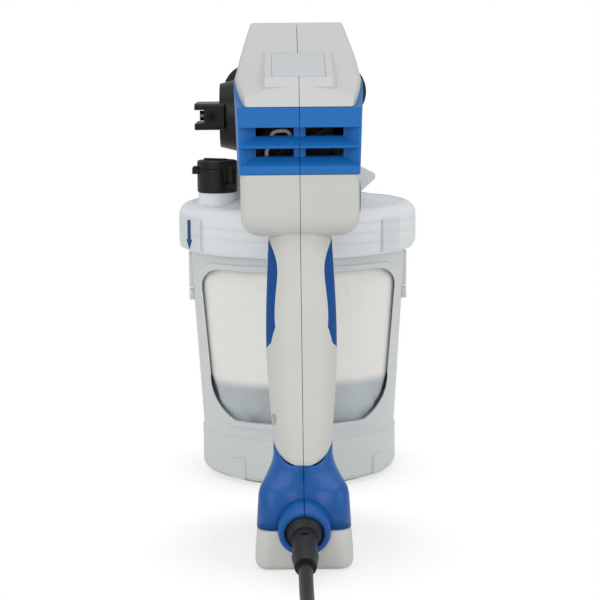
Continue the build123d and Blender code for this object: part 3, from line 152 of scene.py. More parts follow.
# ---------------------------------------------------------------- white body mouldings
# The hood and the rear cover with the handle's spine are white ABS, injection moulded as left
# and right halves that meet on the centre line; the moulds leave a fine grain.
def moulded(name, colour, roughness, grain=900.0, bump=0.04, cloud=0.03, gleam=0.5):
    """Injection-moulded plastic: fine spark-eroded grain, faint clouding, rubbed patches."""
    material = bpy.data.materials.new(name)
    material.use_nodes = True
    tree = material.node_tree
    shader = tree.nodes["Principled BSDF"]
    shader.inputs["Specular IOR Level"].default_value = gleam
    place = tree.nodes.new("ShaderNodeTexCoord")
    clouds = tree.nodes.new("ShaderNodeTexNoise")
    clouds.inputs["Scale"].default_value = 22.0
    clouds.inputs["Detail"].default_value = 4.0
    shade = tree.nodes.new("ShaderNodeMix")
    shade.data_type = "RGBA"
    shade.inputs[6].default_value = (*[c * (1 - cloud) for c in colour], 1)
    shade.inputs[7].default_value = (*[min(1.0, c * (1 + cloud)) for c in colour], 1)
    rubbed = tree.nodes.new("ShaderNodeTexNoise")
    rubbed.inputs["Scale"].default_value = 60.0
    rubbed.inputs["Detail"].default_value = 6.0
    gloss = tree.nodes.new("ShaderNodeMapRange")
    gloss.inputs["From Min"].default_value = 0.3
    gloss.inputs["From Max"].default_value = 0.7
    gloss.inputs["To Min"].default_value = roughness - 0.06
    gloss.inputs["To Max"].default_value = roughness + 0.06
    pits = tree.nodes.new("ShaderNodeTexVoronoi")
    pits.inputs["Scale"].default_value = grain
    pits.inputs["Randomness"].default_value = 1.0
    waves = tree.nodes.new("ShaderNodeTexNoise")
    waves.inputs["Scale"].default_value = grain * 0.35
    surface = tree.nodes.new("ShaderNodeMath")
    surface.operation = "ADD"
    relief = tree.nodes.new("ShaderNodeBump")
    relief.inputs["Strength"].default_value = bump
    relief.inputs["Distance"].default_value = 0.0004
    link = tree.links.new
    for pattern in (clouds, rubbed, pits, waves):
        link(place.outputs["Object"], pattern.inputs["Vector"])
    link(clouds.outputs["Fac"], shade.inputs["Factor"])
    link(shade.outputs[2], shader.inputs["Base Color"])
    link(rubbed.outputs["Fac"], gloss.inputs["Value"])
    link(gloss.outputs["Result"], shader.inputs["Roughness"])
    link(pits.outputs["Distance"], surface.inputs[0])
    link(waves.outputs["Fac"], surface.inputs[1])
    link(surface.outputs["Value"], relief.inputs["Height"])
    link(relief.outputs["Normal"], shader.inputs["Normal"])
    return material


def finish_in(material, *names):
    """Give carried-over pieces their finish."""
    for name in names:
        nodes[name].data.materials.clear()
        nodes[name].data.materials.append(material)


white_abs = moulded("white_abs", (0.545, 0.555, 0.55), 0.50)
finish_in(white_abs, "hood_left", "hood_right")
handle_white = moulded("handle_white", (0.585, 0.585, 0.555), 0.54, grain=700.0, bump=0.06)
finish_in(handle_white, "handle_left", "handle_right")


# ---------------------------------------------------------------- blank label
# A bare vinyl plate, 0.4 mm thick with rounded corners and a pressed border, glued into the
# shallow recess on the hood's rear pad, where it bridges the line between the two halves.
def add_piece(name, form, material, body):
    """Turn a finished bmesh into a piece with its material, under its body."""
    mesh = bpy.data.meshes.new(name)
    form.to_mesh(mesh)
    form.free()
    mesh.materials.append(material)
    piece = bpy.data.objects.new(name, mesh)
    scene.collection.objects.link(piece)
    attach(piece, body)
    return piece


label_width, label_length, label_thick = 0.0286, 0.0416, 0.0004
label_corner, label_border, border_fall = 0.0016, 0.0012, 0.0003
label_place = (0, -0.10975, 0.25086)
pad_rise, pad_run = 257.3 - 244.7, 131 - 89
pad_slope = math.atan2(pad_rise, pad_run)
label_form = bmesh.new()
bmesh.ops.create_cube(label_form, size=1.0)
bmesh.ops.scale(label_form, vec=(label_width, label_length, label_thick), verts=label_form.verts)
label_corners = [e for e in label_form.edges if abs(e.verts[0].co.z - e.verts[1].co.z) > label_thick / 2]
bmesh.ops.bevel(label_form, geom=label_corners, offset=label_corner, offset_type="OFFSET", segments=5,
                profile=0.5, material=-1, affect="EDGES")
label_top = [f for f in label_form.faces if f.normal.z > 0.9]
bmesh.ops.inset_region(label_form, faces=label_top, thickness=label_border)
bmesh.ops.inset_region(label_form, faces=label_top, thickness=border_fall)
bmesh.ops.translate(label_form, vec=(0, 0, -0.0001), verts=list({v for f in label_top for v in f.verts}))
bmesh.ops.rotate(label_form, cent=(0, 0, 0), matrix=Matrix.Rotation(pad_slope, 3, "X"),
                 verts=label_form.verts)
bmesh.ops.translate(label_form, vec=label_place, verts=label_form.verts)
label_vinyl = moulded("label_vinyl", (0.52, 0.555, 0.57), 0.34, grain=2600.0, bump=0.015, cloud=0.015)
add_piece("hood_label", label_form, label_vinyl, "sprayer")

# ---------------------------------------------------------------- blue mouldings
# The louvred shroud is dyed-through blue ABS with a satin face; the grips are a softer, duller
# rubber moulded over the handle's cheeks.
blue_abs = moulded("blue_abs", (0.010, 0.150, 0.47), 0.38, bump=0.05, cloud=0.05, gleam=0.32)
finish_in(blue_abs, "vent_shroud_left", "vent_shroud_right")
blue_rubber = moulded("blue_rubber", (0.005, 0.070, 0.27), 0.66, grain=1400.0, bump=0.10, cloud=0.06,
                      gleam=0.16)
finish_in(blue_rubber, "grip_left", "grip_right")

# ---------------------------------------------------------------- base under the handle
# Blue ABS, moulded in two halves like the body: a block with soft shoulders that narrows to a
# neck cut to the white handle's arched end, and a round collar that holds the strain relief.
# Each level is height, half width, rear, front and corner radius.
base_blue = moulded("base_blue", (0.003, 0.090, 0.34), 0.33, bump=0.04, cloud=0.05, gleam=0.38)
base_levels = [(0.0203, 0.0241, -0.2130, -0.1290, 0.0090), (0.0300, 0.0236, -0.2122, -0.1300, 0.0088),
               (0.0370, 0.0232, -0.2110, -0.1330, 0.0085), (0.0402, 0.0229, -0.2092, -0.1375, 0.0083),
               (0.0424, 0.0221, -0.2066, -0.1410, 0.0088), (0.0440, 0.0209, -0.2040, -0.1440, 0.0097),
               (0.0465, 0.0188, -0.2005, -0.1480, 0.0110), (0.0505, 0.0166, -0.1972, -0.1520, 0.0120),
               (0.0540, 0.01535, -0.1951, -0.1521, 0.0124), (0.0600, 0.0153, -0.1927, -0.1497, 0.0126)]
base_low, base_high = base_levels[0][0], base_levels[-1][0]
level_rings = 6
shoulder_fall = 0.25
arch_radius, arch_centre, arch_reach, joint_gap = 0.01739, 0.06669, 0.0155, 0.0003
half_seam, base_wall_thick = 0.00015, 0.0016
relief_fall = math.radians(15)
relief_start = Vector((0, -0.204, 0.0243))
relief_way = Vector((0, -math.cos(relief_fall), -math.sin(relief_fall)))


def base_outline(height):
    """Half width, rear, front and corner of the base at a height."""
    for low, high in zip(base_levels, base_levels[1:]):
        if height <= high[0]:
            break
    share = (height - low[0]) / (high[0] - low[0])
    share = max(0.0, min(1.0, share))
    return [a + (b - a) * share for a, b in zip(low[1:], high[1:])]


def rounded(unit, half, corner):
    """Where a unit circle's coordinate goes when the circle becomes a rounded rectangle."""
    return math.copysign(half - corner, unit) + corner * unit


def base_ring(form, lift, low_height):
    """One loop round the base: level below the shoulders, then rising to the arched joint."""
    loop = bmesh.ops.create_circle(form, cap_ends=False, segments=120, radius=1.0)["verts"]
    for point in loop:
        across, along = point.co.x, point.co.y
        height = low_height
        for _ in range(3):
            rear, front, corner = base_outline(height)[1:]
            y = (rear + front) / 2 + rounded(along, (front - rear) / 2, corner)
            half = base_outline(min(base_high, height + shoulder_fall * (y - rear)))[0]
            x = rounded(across, half, corner)
            reach = min(abs(x), arch_reach)
            arch = arch_centre - math.sqrt(max(0.0, arch_radius ** 2 - reach ** 2)) - joint_gap
            height = low_height + (arch - low_height) * lift
        point.co = (x, y, height)
    return list({e for v in loop for e in v.link_edges})


def relief_ring(form, section):
    """Spin a closed section of (radius, distance out) points about the strain relief's axis."""
    corners = [form.verts.new(relief_start + relief_way * out + Vector((radius, 0, 0)))
               for radius, out in section]
    outline = [form.edges.new((corners[i], corners[(i + 1) % len(corners)])) for i in range(len(corners))]
    bmesh.ops.spin(form, geom=corners + outline, cent=relief_start, axis=relief_way, angle=2 * math.pi,
                   steps=72, use_merge=True, use_duplicate=False)
    bmesh.ops.remove_doubles(form, verts=form.verts, dist=1e-6)
    bmesh.ops.recalc_face_normals(form, faces=form.faces)


for side, name in ((-1, "left"), (1, "right")):
    base_form = bmesh.new()
    loops = [base_ring(base_form, 0.0, level[0]) for level in base_levels[:level_rings]]
    shoulder_top = base_levels[level_rings - 1][0]
    loops += [base_ring(base_form, lift, shoulder_top) for lift in (0.2, 0.4, 0.6, 0.8, 1.0)]
    for lower, upper in zip(loops, loops[1:]):
        bmesh.ops.bridge_loops(base_form, edges=lower + upper)
    bmesh.ops.contextual_create(base_form, geom=loops[0])
    relief_ring(base_form, ((0.00985, -0.002), (0.00985, 0.0157), (0.0103, 0.0161), (0.0120, 0.0161),
                            (0.0128, 0.0155), (0.0132, 0.0142), (0.0135, 0.0112), (0.0138, -0.002)))
    base_parts = list(base_form.verts) + list(base_form.edges) + list(base_form.faces)
    bmesh.ops.bisect_plane(base_form, geom=base_parts, plane_co=(side * half_seam, 0, 0),
                           plane_no=(side, 0, 0), clear_inner=True)
    base_shell = add_piece(f"base_shell_{name}", base_form, base_blue, "sprayer")
    base_shell.data.shade_smooth()
    base_wall = base_shell.modifiers.new("wall", "SOLIDIFY")
    base_wall.thickness = base_wall_thick
    base_wall.offset = -1.0
    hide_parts(f"base_{name}")

# ---------------------------------------------------------------- foot
# White ABS like the handle, under the base: its sides lean in a little upward and towards the
# front, and its lower edge is rounded. Each level is height, half width and how far the rear,
# the front and the corner radius draw in.
foot_rear, foot_front, foot_corner = -0.2165, -0.1280, 0.0080
foot_form = bmesh.new()
foot_loops = []
for height, half, lean in ((0.0, 0.0210, 0.0042), (0.0006, 0.0228, 0.0022), (0.0018, 0.0241, 0.0009),
                           (0.0036, 0.0248, 0.0002), (0.0060, 0.0249, 0.0), (0.0110, 0.0247, 0.0002),
                           (0.0196, 0.0240, 0.0008), (0.0202, 0.0236, 0.0012)):
    loop = bmesh.ops.create_circle(foot_form, cap_ends=False, segments=120, radius=1.0)["verts"]
    corner = foot_corner - lean
    rear, front = foot_rear + lean, foot_front - lean
    for point in loop:
        y = (rear + front) / 2 + rounded(point.co.y, (front - rear) / 2, corner)
        narrower = base_outline(base_low)[0] - base_outline(base_low + shoulder_fall * (y - rear))[0]
        point.co = (rounded(point.co.x, half - narrower, corner), y, height)
    foot_loops.append(list({e for v in loop for e in v.link_edges}))
for lower, upper in zip(foot_loops, foot_loops[1:]):
    bmesh.ops.bridge_loops(foot_form, edges=lower + upper)
bmesh.ops.contextual_create(foot_form, geom=foot_loops[0])
bmesh.ops.contextual_create(foot_form, geom=foot_loops[-1])
bmesh.ops.recalc_face_normals(foot_form, faces=foot_form.faces)
foot_shell = add_piece("foot_shell", foot_form, handle_white, "sprayer")
foot_shell.data.shade_smooth()
foot_edge = foot_shell.modifiers.new("edge", "EDGE_SPLIT")
foot_edge.split_angle = math.radians(50)
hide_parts("foot")


# ---------------------------------------------------------------- cup frame and cover
# Both are natural polypropylene, milky and a little see-through, so the thread behind the
# cover's skirt shows as soft slanting bands and thick sections look greyer.
thread_pitch, thread_climb = 0.006, 0.0019
thread_low, thread_high, thread_fade = 0.1445, 0.1625, 0.003


def milky_plastic(name, colour, deep, thread=False):
    """Natural polypropylene: cloudy body colour, fine flow lines, thread bands if asked."""
    material = moulded(name, colour, 0.34, grain=500.0, bump=0.03, cloud=0.025, gleam=0.45)
    tree = material.node_tree
    shader = tree.nodes["Principled BSDF"]
    shader.inputs["Subsurface Weight"].default_value = 0.25
    shader.inputs["Subsurface Radius"].default_value = (0.004, 0.004, 0.004)
    shader.inputs["Subsurface Scale"].default_value = 1.0
    place = next(n for n in tree.nodes if n.type == "TEX_COORD")
    clouded = shader.inputs["Base Color"].links[0].from_socket
    axes = tree.nodes.new("ShaderNodeSeparateXYZ")
    flow = tree.nodes.new("ShaderNodeTexNoise")
    flow.inputs["Scale"].default_value = 9.0
    flow.inputs["Detail"].default_value = 3.0
    amount = tree.nodes.new("ShaderNodeMapRange")
    amount.inputs["From Min"].default_value = 0.35
    amount.inputs["From Max"].default_value = 0.75
    amount.inputs["To Max"].default_value = 0.35
    tinted = tree.nodes.new("ShaderNodeMix")
    tinted.data_type = "RGBA"
    tinted.inputs[7].default_value = (*deep, 1)
    link = tree.links.new
    link(place.outputs["Object"], axes.inputs["Vector"])
    link(place.outputs["Object"], flow.inputs["Vector"])
    link(flow.outputs["Fac"], amount.inputs["Value"])
    share = amount.outputs["Result"]
    if thread:
        turn = tree.nodes.new("ShaderNodeMath")
        turn.operation = "ARCTAN2"
        climb = tree.nodes.new("ShaderNodeMath")
        climb.operation = "MULTIPLY_ADD"
        climb.inputs[1].default_value = thread_climb
        crest = tree.nodes.new("ShaderNodeMath")
        crest.operation = "MULTIPLY"
        crest.inputs[1].default_value = 2 * math.pi / thread_pitch
        ridge = tree.nodes.new("ShaderNodeMath")
        ridge.operation = "SINE"
        band = tree.nodes.new("ShaderNodeMapRange")
        band.inputs["From Min"].default_value = 0.2
        band.inputs["From Max"].default_value = 1.0
        band.inputs["To Max"].default_value = 0.45
        below = tree.nodes.new("ShaderNodeMapRange")
        below.inputs["From Min"].default_value = thread_high
        below.inputs["From Max"].default_value = thread_high - thread_fade
        above = tree.nodes.new("ShaderNodeMapRange")
        above.inputs["From Min"].default_value = thread_low
        above.inputs["From Max"].default_value = thread_low + thread_fade
        gate = tree.nodes.new("ShaderNodeMath")
        gate.operation = "MULTIPLY"
        seen = tree.nodes.new("ShaderNodeMath")
        seen.operation = "MULTIPLY"
        both = tree.nodes.new("ShaderNodeMath")
        both.operation = "MAXIMUM"
        link(axes.outputs["Y"], turn.inputs[0])
        link(axes.outputs["X"], turn.inputs[1])
        link(turn.outputs["Value"], climb.inputs[0])
        link(axes.outputs["Z"], climb.inputs[2])
        link(climb.outputs["Value"], crest.inputs[0])
        link(crest.outputs["Value"], ridge.inputs[0])
        link(ridge.outputs["Value"], band.inputs["Value"])
        link(axes.outputs["Z"], below.inputs["Value"])
        link(axes.outputs["Z"], above.inputs["Value"])
        link(below.outputs["Result"], gate.inputs[0])
        link(above.outputs["Result"], gate.inputs[1])
        link(band.outputs["Result"], seen.inputs[0])
        link(gate.outputs["Value"], seen.inputs[1])
        link(seen.outputs["Value"], both.inputs[0])
        link(amount.outputs["Result"], both.inputs[1])
        share = both.outputs["Value"]
    link(clouded, tinted.inputs[6])
    link(share, tinted.inputs["Factor"])
    link(tinted.outputs[2], shader.inputs["Base Color"])
    return material


frame_milky = milky_plastic("frame_milky", (0.66, 0.695, 0.695), (0.56, 0.60, 0.605))
finish_in(frame_milky, "cup_frame")
cover_milky = milky_plastic("cover_milky", (0.80, 0.83, 0.84), (0.66, 0.70, 0.71), thread=True)

# ---------------------------------------------------------------- cup cover
# One polypropylene moulding: a domed top with the pump's turret and its two twist ears, the
# air valve's neck, and a skirt with two wide and two narrow plates that the hand turns it by.
def turned_ring(form, section, start=0.0, sweep=2 * math.pi, steps=96, centre=(0, 0, 0)):
    """Spin a closed section of (radius, height) points about a vertical axis."""
    whole = sweep > 6.28
    corners = [form.verts.new((centre[0] + r * math.cos(start), centre[1] + r * math.sin(start), z))
               for r, z in section]
    outline = [form.edges.new((corners[i], corners[(i + 1) % len(corners)])) for i in range(len(corners))]
    caps = [] if whole else [form.faces.new(corners)]
    bmesh.ops.spin(form, geom=corners + outline + caps, cent=centre, axis=(0, 0, 1), angle=sweep,
                   steps=steps, use_merge=whole, use_duplicate=False)


skirt_radius, skirt_low = 0.0727, 0.1394
dome_round, dome_low = 0.0080, 0.1592
cover_form = bmesh.new()
shoulder = [(skirt_radius - dome_round + dome_round * math.cos(math.radians(a)),
             dome_low + dome_round * math.sin(math.radians(a))) for a in range(0, 91, 10)]
skirt_foot = [(0.0675, skirt_low), (0.0698, skirt_low), (0.0708, skirt_low + 0.0006),
              (skirt_radius - 0.0003, skirt_low + 0.0034), (skirt_radius, skirt_low + 0.0040)]
dome_and_turret = [(0.0638, 0.1666), (0.0622, 0.1665), (0.0300, 0.1738), (0.0270, 0.1744), (0.0246, 0.1762),
                   (0.0240, 0.1785), (0.0230, 0.1888), (0.0224, 0.1894), (0.0092, 0.1894), (0.0092, 0.1690)]
underside = [(0.0132, 0.1661), (0.0603, 0.1646), (0.0670, 0.1646), (0.0670, 0.1500), (0.0675, 0.1436)]
turned_ring(cover_form, skirt_foot + shoulder + dome_and_turret + underside, steps=160)
wide_plate, narrow_plate = 0.032, 0.018
plates = ((-154, wide_plate), (26, wide_plate), (-41, narrow_plate), (139, narrow_plate))
for plate_angle, plate_width in plates:
    plate_sweep = plate_width / skirt_radius
    for rise, drawn_in in ((0.0002, 0.0), (0.0006, 0.010)):
        turned_ring(cover_form, [(0.0722, 0.1412), (0.0724 + rise, 0.1412), (0.0729 + rise, 0.1424),
                                 (0.0729 + rise, 0.1586), (0.0723 + rise, 0.1602), (0.0710, 0.1606)],
                    start=math.radians(plate_angle) - plate_sweep / 2 + drawn_in,
                    sweep=plate_sweep - 2 * drawn_in, steps=10)
valve_place = (-0.048, -0.025, 0)
turned_ring(cover_form, [(0.0091, 0.1640), (0.0120, 0.1640), (0.0120, 0.1675), (0.0115, 0.1682),
                         (0.0114, 0.1748), (0.0091, 0.1748)], steps=64, centre=valve_place)
ear_thick = 0.0116
ear_outline = ((0.0215, 0.1735), (0.0215, 0.1882), (0.0380, 0.1882), (0.0478, 0.1832), (0.0478, 0.1806),
               (0.0372, 0.1712))
for side in (-1, 1):
    ear = [cover_form.verts.new((side * x, -ear_thick / 2, z)) for x, z in ear_outline]
    ear_depth = bmesh.ops.extrude_face_region(cover_form, geom=[cover_form.faces.new(ear)])
    ear_far = [v for v in ear_depth["geom"] if isinstance(v, bmesh.types.BMVert)]
    bmesh.ops.translate(cover_form, vec=(0, ear_thick, 0), verts=ear_far)
bmesh.ops.remove_doubles(cover_form, verts=cover_form.verts, dist=1e-6)
bmesh.ops.holes_fill(cover_form, edges=[e for e in cover_form.edges if e.is_boundary])
bmesh.ops.recalc_face_normals(cover_form, faces=cover_form.faces)
cover_shell = add_piece("cover_shell", cover_form, cover_milky, "sprayer")
cover_shell.data.shade_smooth()
cover_edges = cover_shell.modifiers.new("edges", "BEVEL")
cover_edges.width = 0.0005
cover_edges.segments = 3
cover_edges.limit_method = "ANGLE"
cover_edges.angle_limit = math.radians(35)
cover_edges.harden_normals = True
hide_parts("cup_cover")

# ---------------------------------------------------------------- turning mark
# A plain blue arrow, pad-printed on the left rear plate, that shows which way the cup drops.
arrow_form = bmesh.new()
arrow_half, head_half = 0.0019, 0.0036
arrow_top, arrow_neck, arrow_tip = 0.1590, 0.1474, 0.1418
arrow_radius, arrow_thick, arrow_turn = 0.0738, 0.0004, math.radians(-62)
arrow_outline = ((-arrow_half, arrow_top), (arrow_half, arrow_top), (arrow_half, arrow_neck),
                 (head_half, arrow_neck), (0, arrow_tip), (-head_half, arrow_neck), (-arrow_half, arrow_neck))
arrow_face = arrow_form.faces.new([arrow_form.verts.new((x, -arrow_radius, z)) for x, z in arrow_outline])
arrow_depth = bmesh.ops.extrude_face_region(arrow_form, geom=[arrow_face])
arrow_back = [v for v in arrow_depth["geom"] if isinstance(v, bmesh.types.BMVert)]
bmesh.ops.translate(arrow_form, vec=(0, arrow_thick, 0), verts=arrow_back)
bmesh.ops.holes_fill(arrow_form, edges=[e for e in arrow_form.edges if e.is_boundary])
bmesh.ops.rotate(arrow_form, cent=(0, 0, 0), matrix=Matrix.Rotation(arrow_turn, 3, "Z"),
                 verts=arrow_form.verts)
bmesh.ops.recalc_face_normals(arrow_form, faces=arrow_form.faces)
mark_blue = moulded("mark_blue", (0.004, 0.06, 0.22), 0.5, grain=3000.0, bump=0.01, cloud=0.08, gleam=0.2)
add_piece("turning_mark", arrow_form, mark_blue, "sprayer")

# ---------------------------------------------------------------- bag liner
# A thin polyethylene bag hangs inside the frame from its rim and turns with it. It swells a
# little into the windows, and its empty lower part is clear and lies in soft folds.
bag_low_radius, bag_low, bag_flare, bag_rise, bag_levels = 0.0554, 0.0170, 0.0068, 0.1250, 44
bag_turns = 360
swell_most, bag_play = 0.0024, 0.00025
window_low, window_high, window_corner, window_waist = 0.041, 0.129, 0.039, 0.066
slack_low, slack_high = 0.016, 0.078
bag_wall_radius, bag_wall_high = 0.050, 0.146


def held(value):
    """The value, kept between nothing and one."""
    return max(0.0, min(1.0, value))


bag_form = bmesh.new()
bag_section = [(0.0, 0.0058), (0.030, 0.0058), (0.0470, 0.0060), (0.0525, 0.0085), (0.0552, 0.0140)]
bag_section += [(bag_low_radius + bag_flare * t / bag_levels, bag_low + bag_rise * t / bag_levels)
                for t in range(bag_levels + 1)]
bag_section += [(0.0627, 0.1500), (0.0628, 0.1624), (0.0664, 0.1628)]
bag_line = [bag_form.verts.new((r, 0, z)) for r, z in bag_section]
bag_edges = [bag_form.edges.new(pair) for pair in zip(bag_line, bag_line[1:])]
bmesh.ops.spin(bag_form, geom=bag_line + bag_edges, cent=(0, 0, 0), axis=(0, 0, 1), angle=2 * math.pi,
               steps=bag_turns, use_merge=True, use_duplicate=False)
bmesh.ops.remove_doubles(bag_form, verts=bag_form.verts, dist=1e-6)
for point in bag_form.verts:
    radius = math.hypot(point.co.x, point.co.y)
    if radius < bag_wall_radius or not slack_low < point.co.z < bag_wall_high:
        continue
    turn = math.atan2(point.co.y, point.co.x)
    height = point.co.z
    # side is the window's half width at this height: rounded below the waist, leaning out above it
    if height > window_waist:
        side = min(0.058, 0.0535 + 0.0045 * (height - window_waist) / 0.052)
    else:
        side = 0.038 + 0.0155 * math.sqrt(max(0.0, height - window_corner) / 0.027)
    swell = swell_most * held((side - 0.0005 - abs(point.co.x)) / 0.0015)
    swell *= held((height - window_low) / 0.006) * held((window_high - height) / 0.005)
    slack = held((slack_high - height) / 0.030) * held((height - slack_low) / 0.010)
    fold_up = max(0.0, 1 - abs(math.sin(turn * 4 + height * 55))) ** 3
    fold_down = max(0.0, 1 - abs(math.sin(turn * 4 - height * 48 + 0.6))) ** 3
    ripple = 0.5 + 0.5 * math.sin(turn * 11 + 90 * height) * math.cos(turn * 5 - 60 * height)
    crease = 0.00018 * math.sin(turn * 23 + 20 * math.sin(height * 40))
    inward = slack * (0.0013 * (fold_up + fold_down) + 0.0006 * ripple + crease) + bag_play
    point.co.x *= (radius + swell - inward) / radius
    point.co.y *= (radius + swell - inward) / radius
bmesh.ops.recalc_face_normals(bag_form, faces=bag_form.faces)


def bag_film(name):
    """Polyethylene film, crinkled and glossy: a cream upper part painted as light shining through the bag
    from behind, and below it painted grey shade of the cup's inside seen through the clear film, with painted
    reflection streaks.
    """
    material = moulded(name, (0.86, 0.85, 0.81), 0.30, grain=1200.0, bump=0.02, cloud=0.012, gleam=0.5)
    tree = material.node_tree
    shader = tree.nodes["Principled BSDF"]
    place = next(n for n in tree.nodes if n.type == "TEX_COORD")
    # the upper part's cream is painted light, standing for light that shines through the bag from the windows
    # behind it
    backlit_cream = shader.inputs["Base Color"].links[0].from_socket
    axes = tree.nodes.new("ShaderNodeSeparateXYZ")
    sway = tree.nodes.new("ShaderNodeTexNoise")
    sway.inputs["Scale"].default_value = 5.0
    edge = tree.nodes.new("ShaderNodeMath")
    edge.operation = "MULTIPLY_ADD"
    edge.inputs[1].default_value = -0.030  # the clear part's edge wanders by this much
    level = tree.nodes.new("ShaderNodeMapRange")
    level.interpolation_type = "SMOOTHSTEP"
    level.inputs["From Min"].default_value = 0.052
    level.inputs["From Max"].default_value = 0.044
    # the lighter and darker streaks in the grey part are painted reflections along the film's folds
    painted_glint_streaks = tree.nodes.new("ShaderNodeTexWave")
    painted_glint_streaks.bands_direction = "DIAGONAL"
    painted_glint_streaks.inputs["Scale"].default_value = 6.0
    painted_glint_streaks.inputs["Distortion"].default_value = 5.0
    painted_glint_streaks.inputs["Detail"].default_value = 1.0
    # the grey of the lower part is painted shade: the cup's dark inside seen through the clear film
    clear = tree.nodes.new("ShaderNodeMix")
    clear.data_type = "RGBA"
    clear.inputs[6].default_value = (0.34, 0.39, 0.41, 1)
    clear.inputs[7].default_value = (0.50, 0.545, 0.55, 1)
    mixed = tree.nodes.new("ShaderNodeMix")
    mixed.data_type = "RGBA"
    link = tree.links.new
    link(place.outputs["Object"], axes.inputs["Vector"])
    link(place.outputs["Object"], sway.inputs["Vector"])
    link(place.outputs["Object"], painted_glint_streaks.inputs["Vector"])
    link(sway.outputs["Fac"], edge.inputs[0])
    link(axes.outputs["Z"], edge.inputs[2])
    link(edge.outputs["Value"], level.inputs["Value"])
    link(painted_glint_streaks.outputs["Fac"], clear.inputs["Factor"])
    link(level.outputs["Result"], mixed.inputs["Factor"])
    link(backlit_cream, mixed.inputs[6])
    link(clear.outputs[2], mixed.inputs[7])
    link(mixed.outputs[2], shader.inputs["Base Color"])
    return material


liner_film = bag_film("liner_film")
cup_bag = add_piece("cup_bag", bag_form, liner_film, "cup_frame")
cup_bag.data.shade_smooth()
bag_wall = cup_bag.modifiers.new("wall", "SOLIDIFY")
bag_wall.thickness = 0.0003
bag_wall.offset = -1.0
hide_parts("cup_liner")

# ---------------------------------------------------------------- black mouldings
# Glass-filled nylon, satin and nearly black: the air valve and its flip lid, the prime knob, the
# nose cover, the trigger, the lock bolt and the drive's mouldings. The guard, the dial, the tip
# and the gasket are coloured beside them.
black_nylon = moulded("black_nylon", (0.0045, 0.0045, 0.005), 0.36, cloud=0.15, bump=0.06, gleam=0.32)
finish_in(black_nylon, "air_valve", "valve_lid", "prime_knob", "guard_nut", "trigger", "trigger_lock_bolt")
filled_nylon = moulded("filled_nylon", (0.010, 0.010, 0.011), 0.5, grain=420.0, bump=0.10, cloud=0.2,
                       gleam=0.3)
finish_in(filled_nylon, "nose_cover", "trigger_switch", "gear_plate", "motor_end_cap", "inlet_strainer",
          "cooling_fan")
guard_plum = moulded("guard_plum", (0.018, 0.016, 0.022), 0.42, cloud=0.12, bump=0.05, gleam=0.4)
finish_in(guard_plum, "tip_guard")
dial_blue = moulded("dial_blue", (0.006, 0.045, 0.16), 0.42, grain=1100.0, bump=0.05, gleam=0.3)
finish_in(dial_blue, "speed_dial")
tip_blue = moulded("tip_blue", (0.008, 0.10, 0.36), 0.30, grain=1100.0, bump=0.03, cloud=0.06)
finish_in(tip_blue, "spray_tip")
gasket_rubber = moulded("gasket_rubber", (0.02, 0.02, 0.022), 0.7, grain=1500.0, bump=0.08, cloud=0.2,
                        gleam=0.3)
finish_in(gasket_rubber, "cover_gasket", "motor_brushes")


# ---------------------------------------------------------------- steel, aluminium and brass
# Shafts, gears, pistons and pins are ground steel, the motor can is drawn and plated, the
# pump block and manifold are die-cast aluminium, and the plug's blades are brass.
def ground_metal(name, colour, roughness, stretch, scratch=0.5, mottle=0.06):
    """Machined or cast metal: fine tool lines along one axis, mottled oxide, worn gloss."""
    material = bpy.data.materials.new(name)
    material.use_nodes = True
    tree = material.node_tree
    shader = tree.nodes["Principled BSDF"]
    shader.inputs["Metallic"].default_value = 1.0
    place = tree.nodes.new("ShaderNodeTexCoord")
    along = tree.nodes.new("ShaderNodeMapping")
    along.inputs["Scale"].default_value = stretch
    lines = tree.nodes.new("ShaderNodeTexNoise")
    lines.inputs["Scale"].default_value = 1.0
    lines.inputs["Detail"].default_value = 5.0
    oxide = tree.nodes.new("ShaderNodeTexNoise")
    oxide.inputs["Scale"].default_value = 45.0
    oxide.inputs["Detail"].default_value = 5.0
    shade = tree.nodes.new("ShaderNodeMix")
    shade.data_type = "RGBA"
    shade.inputs[6].default_value = (*[c * (1 - mottle) for c in colour], 1)
    shade.inputs[7].default_value = (*[min(1.0, c * (1 + mottle)) for c in colour], 1)
    gloss = tree.nodes.new("ShaderNodeMapRange")
    gloss.inputs["To Min"].default_value = roughness - 0.08
    gloss.inputs["To Max"].default_value = roughness + 0.10
    relief = tree.nodes.new("ShaderNodeBump")
    relief.inputs["Strength"].default_value = scratch * 0.2
    relief.inputs["Distance"].default_value = 0.0003
    link = tree.links.new
    link(place.outputs["Object"], along.inputs["Vector"])
    link(along.outputs["Vector"], lines.inputs["Vector"])
    link(place.outputs["Object"], oxide.inputs["Vector"])
    link(oxide.outputs["Fac"], shade.inputs["Factor"])
    link(shade.outputs[2], shader.inputs["Base Color"])
    link(lines.outputs["Fac"], gloss.inputs["Value"])
    link(gloss.outputs["Result"], shader.inputs["Roughness"])
    link(lines.outputs["Fac"], relief.inputs["Height"])
    link(relief.outputs["Normal"], shader.inputs["Normal"])
    return material


